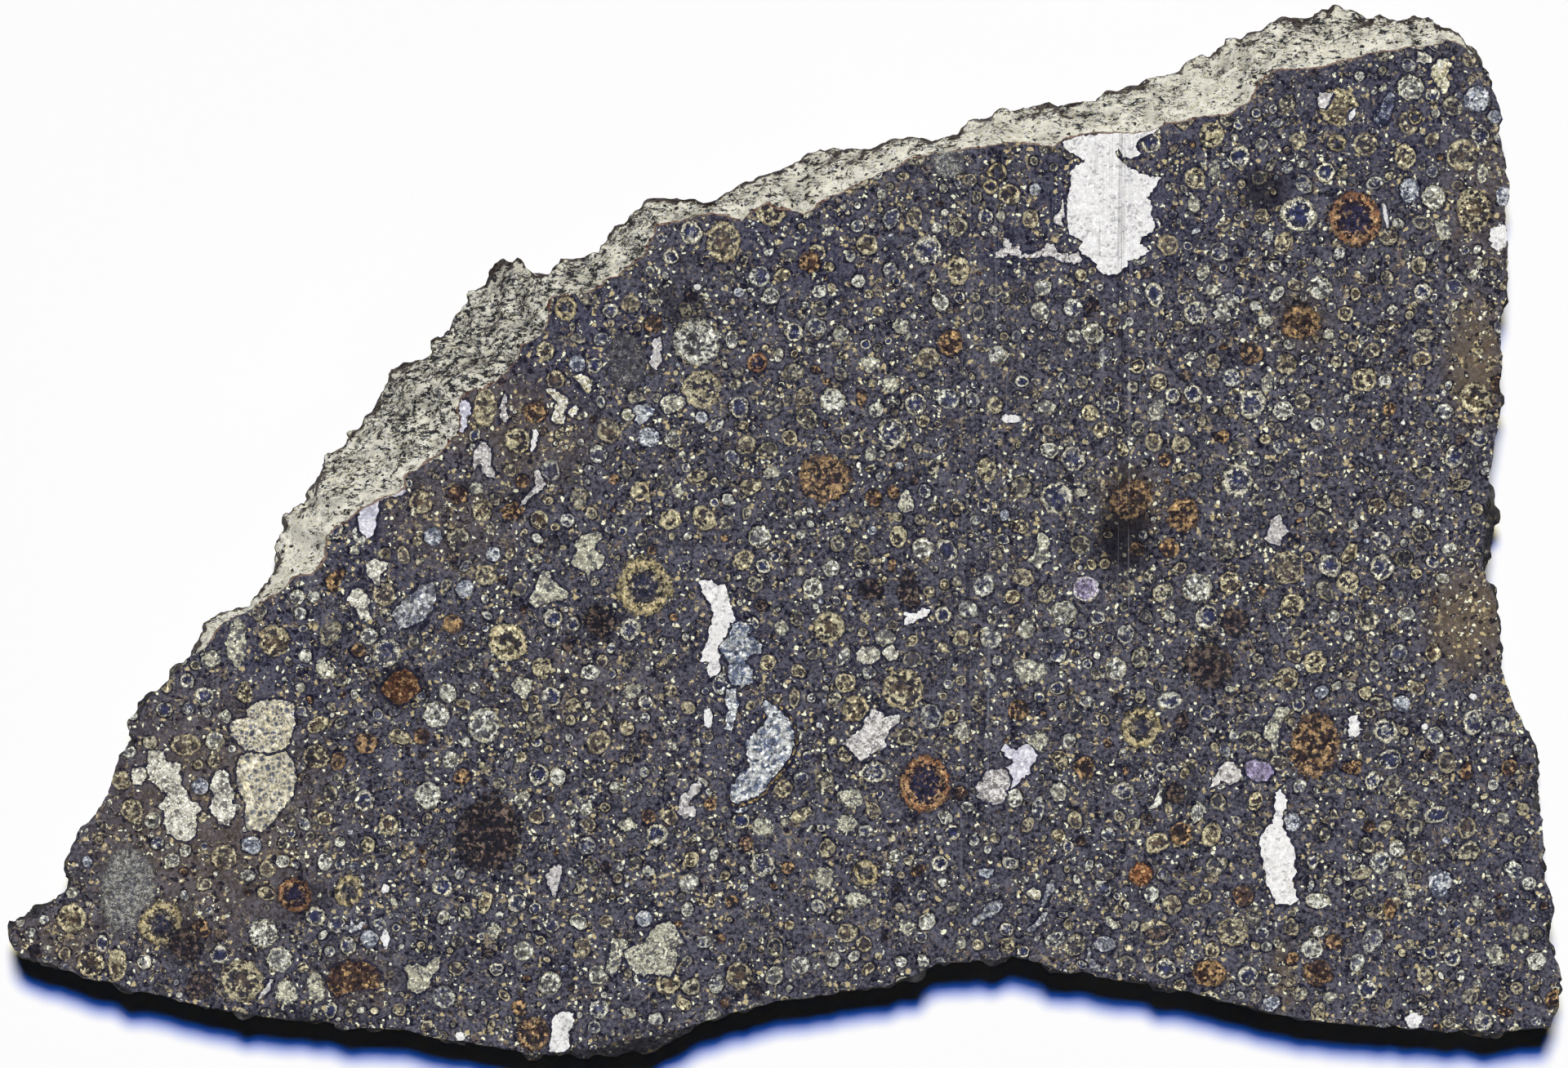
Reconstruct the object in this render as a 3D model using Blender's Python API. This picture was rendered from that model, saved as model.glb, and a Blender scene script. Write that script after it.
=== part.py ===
# A slice of a chondrite meteorite: one flat stone slab with a ground front face,
# a sawn back, broken rough sides, and a strip of the natural outer crust that
# falls away from the front face along the upper left and the top.
#
# The slab lies on its sawn back. +X is its length, +Y its width, and +Z points
# out of the ground face. The origin is under the middle of its box, on the back.

import math

import bmesh
import bpy
from mathutils import Vector, noise
from mathutils.geometry import delaunay_2d_cdt

# Driving dimensions, in metres
SLAB_LENGTH = 0.0854
SLAB_THICKNESS = 0.0070
EDGE_STEP = 0.00085
OUTLINE_SWAY = 0.000102
FACE_EDGE_SWAY = 0.000204
SWAYS_PER_METRE = 900.0

# The crust: how far its points stand apart, how it falls away, and its lumps,
# knobs, thin ledges and one crack
CRUST_STEP = 0.00090
CRUST_JITTER = 0.000405
JITTERS_PER_METRE = 1300.0
CRUST_DROP_SHARE = 0.62
CRUST_SLOPE = 1.15
CRUST_CURVE = 1.35
CRUST_LUMP = 0.00065
CRUST_LUMPS_PER_METRE = 420.0
CRUST_LUMP_RAMP = 3.0
LIP_LUMP_SHARE = 0.4
FACE_CLEARANCE = 0.000072
KNOB_RISE = 0.55
LEDGE_HEIGHT = 0.00034
LEDGE_PITCH = 0.00165
LEDGE_RISE_SHARE = 0.35
LEDGE_SWAYS_PER_METRE = (160.0, 60.0)
LEDGE_FADE = (0.004, 0.003)
CRACK_DEPTH = 0.0005
CRACK_WIDTH = 0.0007

# The broken sides, from the outline down to the back
WALL_RINGS = 8
WALL_UNDERCUT = 0.0010
UNDERCUT_MEAN = 0.9
UNDERCUT_SPREAD = 1.3
UNDERCUT_CURVE = 1.6
WALL_BELLY = 0.0003825
WALL_BELLY_RAMP = 3.0
WALL_LUMP = 0.00085
WALL_LUMP_PITCH = 0.0031
WALL_LEDGE = 0.00035
WALL_LEDGE_PITCH = 0.0023
WALL_SWAY_PITCH = 0.0110
WALL_SWAYS = 2.3
WALL_SWAY_SHARE = 1.5
RING_SWAYS = 1.7
RING_SWAY = 0.0002975

# How rough the noise is: the fall of its waves' size, their spacing and their number
CRUST_ROUGHNESS = (0.9, 2.1, 3)
WALL_ROUGHNESS = (0.8, 2.2, 3)
NOISE_SHIFT = Vector((3.7, 11.2, 5.1))
SAME_PLACE = 1e-7

FLAT_NORMAL = 0.99999
SHARP_ANGLE = 40.0
STONE_COLOUR = (0.085, 0.082, 0.088, 1.0)
STONE_ROUGHNESS = 0.62

# The slab's outline, read by eye from the photograph in its own pixels (x right,
# y down), clockwise from the left tip. Each stretch is named for what it is.
LEFT_TIP_PX = [
    (11, 1153), (16, 1138), (22, 1127), (30, 1124), (44, 1122), (50, 1114),
    (63, 1107), (73, 1097), (84, 1091), (86, 1078), (84, 1057), (90, 1033),
    (100, 1014), (115, 1000), (131, 972), (139, 952), (149, 927), (157, 918),
    (167, 909), (157, 895), (155, 885), (162, 877), (174, 869), (187, 850),
    (200, 840), (220, 821),
]
CRUST_LIP_PX = [
    (227, 808), (245, 790), (245, 778), (262, 755),
    (280, 749), (304, 739), (316, 721), (331, 715), (335, 692), (347, 664),
    (346, 636), (362, 625), (377, 621), (378, 597), (392, 572), (404, 554),
    (422, 551), (426, 535), (438, 520), (450, 505), (462, 487), (471, 471),
    (475, 459), (490, 448), (511, 442), (527, 437), (531, 421), (541, 415),
    (554, 407), (557, 392), (569, 376), (576, 358), (591, 346), (602, 327),
    (613, 319), (632, 317), (643, 328), (654, 340), (672, 341), (680, 332),
    (687, 318), (701, 321), (716, 312), (735, 310), (741, 300), (744, 283),
    (752, 277), (770, 272), (781, 254), (796, 242), (821, 242), (842, 245),
    (861, 246), (885, 239), (910, 226), (934, 215), (959, 208), (995, 188),
    (1026, 184), (1060, 184), (1075, 176), (1100, 172), (1118, 169),
    (1140, 172), (1170, 167), (1188, 150), (1216, 143), (1238, 137),
    (1253, 129), (1271, 130), (1285, 126), (1296, 130), (1319, 123),
    (1342, 123), (1354, 114), (1375, 110), (1389, 103), (1406, 99),
    (1431, 94), (1446, 83), (1461, 75), (1483, 72), (1495, 55), (1523, 41),
    (1556, 32), (1575, 20), (1605, 21), (1621, 11), (1642, 8), (1660, 17),
    (1674, 26), (1691, 19), (1709, 26), (1725, 23), (1734, 15), (1749, 23),
    (1765, 34), (1786, 41), (1804, 58), (1816, 73), (1823, 89),
]
UPPER_RIGHT_PX = [
    (1824, 103), (1838, 135), (1840, 147), (1835, 159), (1840, 187),
    (1847, 223), (1848, 240), (1841, 260), (1846, 291), (1845, 334),
    (1844, 370), (1835, 389), (1839, 437), (1836, 511), (1830, 545),
    (1825, 582),
]
RIGHT_LIP_PX = [
    (1823, 600), (1832, 629), (1829, 649), (1824, 690), (1821, 712),
]
LOWER_RIGHT_PX = [
    (1829, 722), (1832, 744), (1838, 784), (1839, 825), (1855, 868),
    (1870, 892), (1882, 918), (1881, 936), (1884, 948), (1878, 964),
    (1878, 985), (1889, 1003), (1890, 1036), (1889, 1066), (1897, 1090),
    (1904, 1113), (1903, 1124), (1893, 1134), (1893, 1152), (1904, 1173),
    (1910, 1187), (1908, 1226), (1898, 1257), (1862, 1261), (1820, 1266),
    (1801, 1261), (1771, 1262), (1706, 1258), (1666, 1255), (1599, 1250),
    (1544, 1235), (1498, 1226), (1471, 1218), (1421, 1207), (1403, 1200),
    (1375, 1201), (1345, 1197), (1326, 1189), (1311, 1192), (1271, 1177),
    (1238, 1171), (1216, 1175), (1148, 1179), (1127, 1191), (1090, 1206),
    (1041, 1212), (985, 1222), (950, 1226), (920, 1235), (880, 1246),
]
LOWER_LIP_PX = [
    (845, 1256), (826, 1269), (824, 1280), (800, 1287), (760, 1293),
    (720, 1295), (668, 1292),
]
LOWER_LEFT_PX = [
    (638, 1288), (601, 1281), (564, 1275), (534, 1272), (494, 1260),
    (422, 1260), (384, 1244), (356, 1249), (323, 1245), (280, 1239),
    (253, 1233), (187, 1218), (162, 1213), (139, 1204), (106, 1199),
    (70, 1183), (35, 1174), (25, 1168), (14, 1160),
]
# Where the ground face ends and the stone falls away to each of those lips, in
# the same order round the slab.
CRUST_EDGE_PX = [
    (242, 800), (254, 791), (263, 774), (275, 763), (303, 749), (336, 729),
    (351, 721), (361, 708), (384, 702), (400, 682), (401, 656), (436, 630),
    (459, 615), (484, 606), (496, 597), (496, 584), (525, 566), (542, 554),
    (563, 530), (565, 490), (576, 478), (606, 468), (631, 447), (640, 422),
    (664, 413), (670, 392), (676, 364), (722, 358), (744, 346), (780, 320),
    (789, 315), (807, 279), (832, 272), (856, 264), (908, 268), (939, 251),
    (985, 262), (1015, 245), (1050, 225), (1075, 215), (1110, 200),
    (1131, 192), (1189, 181), (1256, 176), (1290, 180), (1302, 172),
    (1326, 166), (1394, 162), (1437, 152), (1467, 144), (1504, 141),
    (1528, 127), (1541, 106), (1562, 87), (1624, 83), (1654, 72),
    (1694, 64), (1731, 58), (1755, 57), (1772, 51), (1790, 56),
    (1804, 66), (1812, 76),
]
RIGHT_EDGE_PX = [(1819, 628), (1818, 660), (1816, 690)]
LOWER_EDGE_PX = [(824, 1260), (800, 1268), (760, 1276), (720, 1284), (692, 1288)]
# Grains that stand proud of the crust: place and radius.
KNOBS_PX = [
    (618, 336, 26), (692, 330, 16), (812, 256, 26), (764, 292, 18),
    (545, 424, 14), (566, 392, 12), (400, 600, 18), (362, 640, 16),
    (1285, 140, 14), (1340, 138, 22), (1404, 112, 20), (1462, 84, 18),
    (1590, 38, 22), (1642, 18, 20), (1690, 28, 12), (1735, 24, 12),
    (1050, 196, 18), (1112, 180, 18), (1210, 158, 22), (498, 460, 22),
]
CRACK_PX = [(1734, 12), (1728, 34), (1726, 58)]
# The rough stepped ground between the crust's lip and the face, left of the top.
LEDGES_PX = ((350, 420), (760, 640))

# The outline's stretches in order, each with the face's edge behind it where the
# face stops short of it.
STRETCHES = [
    (LEFT_TIP_PX, None),
    (CRUST_LIP_PX, CRUST_EDGE_PX),
    (UPPER_RIGHT_PX, None),
    (RIGHT_LIP_PX, RIGHT_EDGE_PX),
    (LOWER_RIGHT_PX, None),
    (LOWER_LIP_PX, LOWER_EDGE_PX),
    (LOWER_LEFT_PX, None),
]
OUTLINE_PX = [point for stretch, _ in STRETCHES for point in stretch]


def photo_frame():
    """Metres per pixel, and the pixel that lies over the origin."""
    across = [x for x, _ in OUTLINE_PX]
    down = [y for _, y in OUTLINE_PX]
    pixel = SLAB_LENGTH / (max(across) - min(across))
    middle = ((max(across) + min(across)) / 2, (max(down) + min(down)) / 2)
    return pixel, middle


PIXEL, MIDDLE_PX = photo_frame()


def place(point):
    return Vector(((point[0] - MIDDLE_PX[0]) * PIXEL, (MIDDLE_PX[1] - point[1]) * PIXEL))


def smooth_step(low, high, value):
    share = min(max((value - low) / (high - low), 0.0), 1.0)
    return share * share * (3.0 - 2.0 * share)


def stepped(turns):
    """One steep rise and a long slope down again for each turn, from 0 to 1 high."""
    return smooth_step(0.0, LEDGE_RISE_SHARE, turns % 1.0) - turns % 1.0


def divided(points, step):
    """The line through these points, with more between them, none further apart than step."""
    finer = []
    for start, end in zip(points, points[1:]):
        count = max(1, math.ceil((end - start).length / step))
        finer += [start.lerp(end, i / count) for i in range(count)]
    return finer + [points[-1]]


def wobbled(points, amount):
    """The same line, with a small irregular shift sideways that keeps both ends."""
    shifted = [points[0]]
    for before, here, after in zip(points, points[1:], points[2:]):
        along = (after - before).normalized()
        side = Vector((-along.y, along.x))
        sample = Vector((here.x, here.y, 0.0)) * SWAYS_PER_METRE + NOISE_SHIFT
        shifted.append(here + side * noise.noise(sample) * amount)
    return shifted + [points[-1]]


def nearest_distance(point, line):
    best = 1.0
    for start, end in zip(line, line[1:]):
        run = end - start
        share = min(max((point - start).dot(run) / max(run.length_squared, SAME_PLACE ** 2), 0.0), 1.0)
        best = min(best, (point - start - run * share).length)
    return best


def inside(point, loop):
    crossings = 0
    for start, end in zip(loop, loop[1:] + loop[:1]):
        if (start.y > point.y) == (end.y > point.y):
            continue
        at = start.x + (point.y - start.y) / (end.y - start.y) * (end.x - start.x)
        crossings += at > point.x
    return crossings % 2 == 1


def stretch_lines():
    """Each stretch's outline, on to the next one's first point, and its face edge or None."""
    lines = []
    for index, (lip, edge) in enumerate(STRETCHES):
        following = STRETCHES[(index + 1) % len(STRETCHES)][0]
        outer = [place(p) for p in lip]
        if edge is None:
            before = STRETCHES[index - 1]
            start = [place(before[0][-1])] if before[1] else []
            outer = start + outer + [place(following[0])]
            lines.append((wobbled(divided(outer, EDGE_STEP), OUTLINE_SWAY), None))
            continue
        inner = [outer[0]] + [place(p) for p in edge] + [outer[-1]]
        lines.append((
            wobbled(divided(outer, EDGE_STEP), OUTLINE_SWAY),
            wobbled(divided(inner, EDGE_STEP), FACE_EDGE_SWAY),
        ))
    return lines


def fall_points(lip, edge):
    """Points spread between a lip and the face's edge, clear of both."""
    loop = lip + edge[-2:0:-1]
    low = Vector((min(p.x for p in loop), min(p.y for p in loop)))
    high = Vector((max(p.x for p in loop), max(p.y for p in loop)))
    found = []
    rows = int((high.y - low.y) / CRUST_STEP)
    columns = int((high.x - low.x) / CRUST_STEP)
    for row in range(rows):
        for column in range(columns):
            shift = Vector(((row % 2) * 0.5, 0.0))
            point = low + (Vector((column, row)) + shift) * CRUST_STEP
            sample = Vector((point.x, point.y, 0.01)) * JITTERS_PER_METRE
            jitter = Vector((noise.noise(sample), noise.noise(sample + NOISE_SHIFT)))
            point += jitter * CRUST_JITTER
            if not inside(point, loop):
                continue
            if min(nearest_distance(point, lip), nearest_distance(point, edge)) < CRUST_STEP / 2:
                continue
            found.append(point)
    return found


def fall_height(point, lip, edge):
    """The height between the face's edge and a lip, which stands lower the further out it is."""
    from_edge = nearest_distance(point, edge)
    width = from_edge + nearest_distance(point, lip)
    share = from_edge / max(width, SAME_PLACE)
    drop = min(CRUST_DROP_SHARE * SLAB_THICKNESS, width * CRUST_SLOPE)
    height = SLAB_THICKNESS - drop * share ** CRUST_CURVE
    height -= CRACK_DEPTH * crack_share(point)
    if width - from_edge < SAME_PLACE:
        return height
    room = min(1.0, CRUST_LUMP_RAMP * share, LIP_LUMP_SHARE + CRUST_LUMP_RAMP * (1.0 - share))
    sample = Vector((point.x, point.y, 0.0)) * CRUST_LUMPS_PER_METRE + NOISE_SHIFT
    height += noise.fractal(sample, *CRUST_ROUGHNESS) * CRUST_LUMP * room
    height += ledge(point) * room
    for x, y, radius in KNOBS_PX:
        reach = radius * PIXEL
        off = (point - place((x, y))).length / reach
        if off < 1.0:
            height += math.sqrt(1.0 - off * off) * reach * KNOB_RISE
    return min(height, SLAB_THICKNESS - FACE_CLEARANCE)


def ledge(point):
    """Thin steps that run along the slab, where the crust is split."""
    low = place((LEDGES_PX[0][0], LEDGES_PX[1][1]))
    high = place((LEDGES_PX[1][0], LEDGES_PX[0][1]))
    fade = smooth_step(low.x, low.x + LEDGE_FADE[0], point.x)
    fade *= 1.0 - smooth_step(high.x - LEDGE_FADE[0], high.x, point.x)
    fade *= smooth_step(low.y - LEDGE_FADE[1], low.y, point.y)
    fade *= 1.0 - smooth_step(high.y, high.y + LEDGE_FADE[1], point.y)
    across, up = LEDGE_SWAYS_PER_METRE
    sway = noise.noise(Vector((point.x * across, point.y * up, 2.0))) * LEDGE_PITCH
    return stepped((point.y + sway) / LEDGE_PITCH) * LEDGE_HEIGHT * fade


def crack_share(point):
    line = [place(p) for p in CRACK_PX]
    return 1.0 - smooth_step(0.0, CRACK_WIDTH, nearest_distance(point, line))


def smoothed(loop, rounds):
    for _ in range(rounds):
        loop = [
            (before + here * 2.0 + after) / 4.0
            for before, here, after in zip(loop[-1:] + loop[:-1], loop, loop[1:] + loop[:1])
        ]
    return loop


def outward(loop, index):
    along = (loop[(index + 1) % len(loop)] - loop[index - 1]).normalized()
    return Vector((-along.y, along.x))


def wall_rings(loop, heights):
    """Rings from the outline down to the back. Each is a little rounder, lumpier and further in."""
    rings = []
    for ring in range(1, WALL_RINGS + 1):
        down = ring / WALL_RINGS
        base = smoothed(loop, ring)
        points = []
        for index, here in enumerate(base):
            height = heights[index] * (1.0 - down)
            sample = Vector((here.x, here.y, height)) / WALL_LUMP_PITCH + NOISE_SHIFT
            lumps = noise.fractal(sample, *WALL_ROUGHNESS) * WALL_LUMP
            broad = Vector((here.x, here.y, 0.0)) / WALL_SWAY_PITCH + NOISE_SHIFT
            undercut = WALL_UNDERCUT * (UNDERCUT_MEAN + UNDERCUT_SPREAD * noise.noise(broad))
            sway = noise.noise(broad * WALL_SWAYS) * WALL_LEDGE_PITCH * WALL_SWAY_SHARE
            ledges = stepped((height + sway) / WALL_LEDGE_PITCH) * WALL_LEDGE
            belly = undercut * down ** UNDERCUT_CURVE
            belly += WALL_BELLY * min(1.0, down * WALL_BELLY_RAMP)
            point = here - outward(base, index) * max(0.0, belly - lumps - ledges)
            if ring < WALL_RINGS:
                height += noise.noise(sample * RING_SWAYS) * RING_SWAY
            points.append((point.x, point.y, height))
        rings.append(points)
    return rings


def front_plan(lines):
    """The front seen from above as flat triangles, with the height of each of its points."""
    outline = [point for outer, _ in lines for point in outer[:-1]]
    plan = list(outline)
    cuts = []
    falls = []
    face_loop = []
    start = 0
    for outer, edge in lines:
        end = (start + len(outer) - 1) % len(outline)
        if edge is None:
            face_loop += outer[:-1]
        else:
            face_loop += edge[:-1]
            run = [start] + list(range(len(plan), len(plan) + len(edge) - 2)) + [end]
            cuts += zip(run, run[1:])
            plan += edge[1:-1] + fall_points(outer, edge)
            falls.append((outer, edge))
        start = end
    loop = list(range(len(outline)))
    places, _, faces = delaunay_2d_cdt(plan, cuts, [loop[::-1]], 1, SAME_PLACE / 100)[:3]
    heights = []
    for point in places:
        height = SLAB_THICKNESS
        for outer, edge in falls:
            between = inside(point, outer + edge[-2:0:-1]) or nearest_distance(point, outer) < SAME_PLACE
            if between and nearest_distance(point, edge) > SAME_PLACE:
                height = fall_height(point, outer, edge)
        heights.append(height)
    return outline, places, heights, faces


def slab_mesh():
    outline, places, heights, faces = front_plan(stretch_lines())
    shape = bmesh.new()
    top = [shape.verts.new((p.x, p.y, z)) for p, z in zip(places, heights)]
    for corners in faces:
        shape.faces.new([top[i] for i in corners])
    above = top[:len(outline)]
    for points in wall_rings(outline, [v.co.z for v in above]):
        below = [shape.verts.new(p) for p in points]
        for i in range(len(below)):
            after = (i + 1) % len(below)
            shape.faces.new((above[i], above[after], below[after], below[i]))
        above = below
    shape.faces.new(above)
    bmesh.ops.triangulate(shape, faces=shape.faces[:], quad_method="SHORT_EDGE")
    bmesh.ops.recalc_face_normals(shape, faces=shape.faces[:])
    mesh = bpy.data.meshes.new("meteorite_slice")
    shape.to_mesh(mesh)
    shape.free()
    return mesh


def stone_material():
    material = bpy.data.materials.new("meteorite_stone")
    material.use_nodes = True
    shader = material.node_tree.nodes["Principled BSDF"]
    shader.inputs["Base Color"].default_value = STONE_COLOUR
    shader.inputs["Roughness"].default_value = STONE_ROUGHNESS
    shader.inputs["Metallic"].default_value = 0.0
    return material


def shade(mesh):
    """The ground face and the back stay flat up to their edges, and the rest is smooth."""
    for face in mesh.polygons:
        face.use_smooth = abs(face.normal.z) < FLAT_NORMAL
    mesh.set_sharp_from_angle(angle=math.radians(SHARP_ANGLE))


def centred(mesh):
    """Moves the mesh so that the origin is under the middle of its box."""
    for axis in (0, 1):
        values = [v.co[axis] for v in mesh.vertices]
        middle = (max(values) + min(values)) / 2
        for vertex in mesh.vertices:
            vertex.co[axis] -= middle


def main():
    for item in list(bpy.data.objects):
        bpy.data.objects.remove(item)
    mesh = slab_mesh()
    centred(mesh)
    mesh.materials.append(stone_material())
    shade(mesh)
    slab = bpy.data.objects.new("meteorite_slice", mesh)
    bpy.context.scene.collection.objects.link(slab)


main()
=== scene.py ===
import math
import random

import bmesh
import bpy
import numpy as np
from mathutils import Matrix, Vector, noise
from mathutils.geometry import delaunay_2d_cdt


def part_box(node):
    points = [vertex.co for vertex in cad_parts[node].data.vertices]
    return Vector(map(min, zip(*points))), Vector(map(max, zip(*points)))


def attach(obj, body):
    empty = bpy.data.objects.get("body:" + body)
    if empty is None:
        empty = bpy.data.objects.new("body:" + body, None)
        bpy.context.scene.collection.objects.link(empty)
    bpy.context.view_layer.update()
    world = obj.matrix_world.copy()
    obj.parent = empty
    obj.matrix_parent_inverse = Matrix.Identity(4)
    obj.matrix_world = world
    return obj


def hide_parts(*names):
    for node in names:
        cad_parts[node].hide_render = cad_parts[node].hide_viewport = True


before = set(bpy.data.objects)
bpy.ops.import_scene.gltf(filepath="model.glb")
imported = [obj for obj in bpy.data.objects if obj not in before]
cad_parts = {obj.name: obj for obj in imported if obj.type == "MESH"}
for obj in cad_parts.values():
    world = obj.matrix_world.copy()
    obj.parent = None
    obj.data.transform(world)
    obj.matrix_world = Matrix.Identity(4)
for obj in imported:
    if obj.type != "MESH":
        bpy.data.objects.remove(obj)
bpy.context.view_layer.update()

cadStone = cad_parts["meteorite_slice"]
lowCorner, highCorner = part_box("meteorite_slice")
topHeight = highCorner[2]
mm = 0.001

# The photo in its pixels: its width, how many the slice spans tip to tip, and the one over its middle.
photo = {"wide": 1920, "tipToTip": 1899.0, "middle": (960.5, 651.5)}
pixel = (highCorner[0] - lowCorner[0]) / photo["tipToTip"]
boxMiddle = (Vector(lowCorner) + Vector(highCorner)) / 2
farOut = 9  # in m: a place so far off is outside the stone, and a grain so large covers all of it


def atPixel(x, y):
    return Vector((
        boxMiddle.x + (x - photo["middle"][0]) * pixel,
        boxMiddle.y + (photo["middle"][1] - y) * pixel,
    ))


def tone(text):  # a colour as it looks on screen, #rrggbb, as light values
    parts = [int(text[i:i + 2], 16) / 255 for i in (1, 3, 5)]
    return tuple(c / 12.92 if c <= 0.04045 else ((c + 0.055) / 1.055) ** 2.4 for c in parts)


def blend(a, b, share):
    return tuple(p + (q - p) * share for p, q in zip(a, b))


def easeStep(low, high, value):
    share = min(max((value - low) / (high - low), 0.0), 1.0)
    return share * share * (3 - 2 * share)


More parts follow.
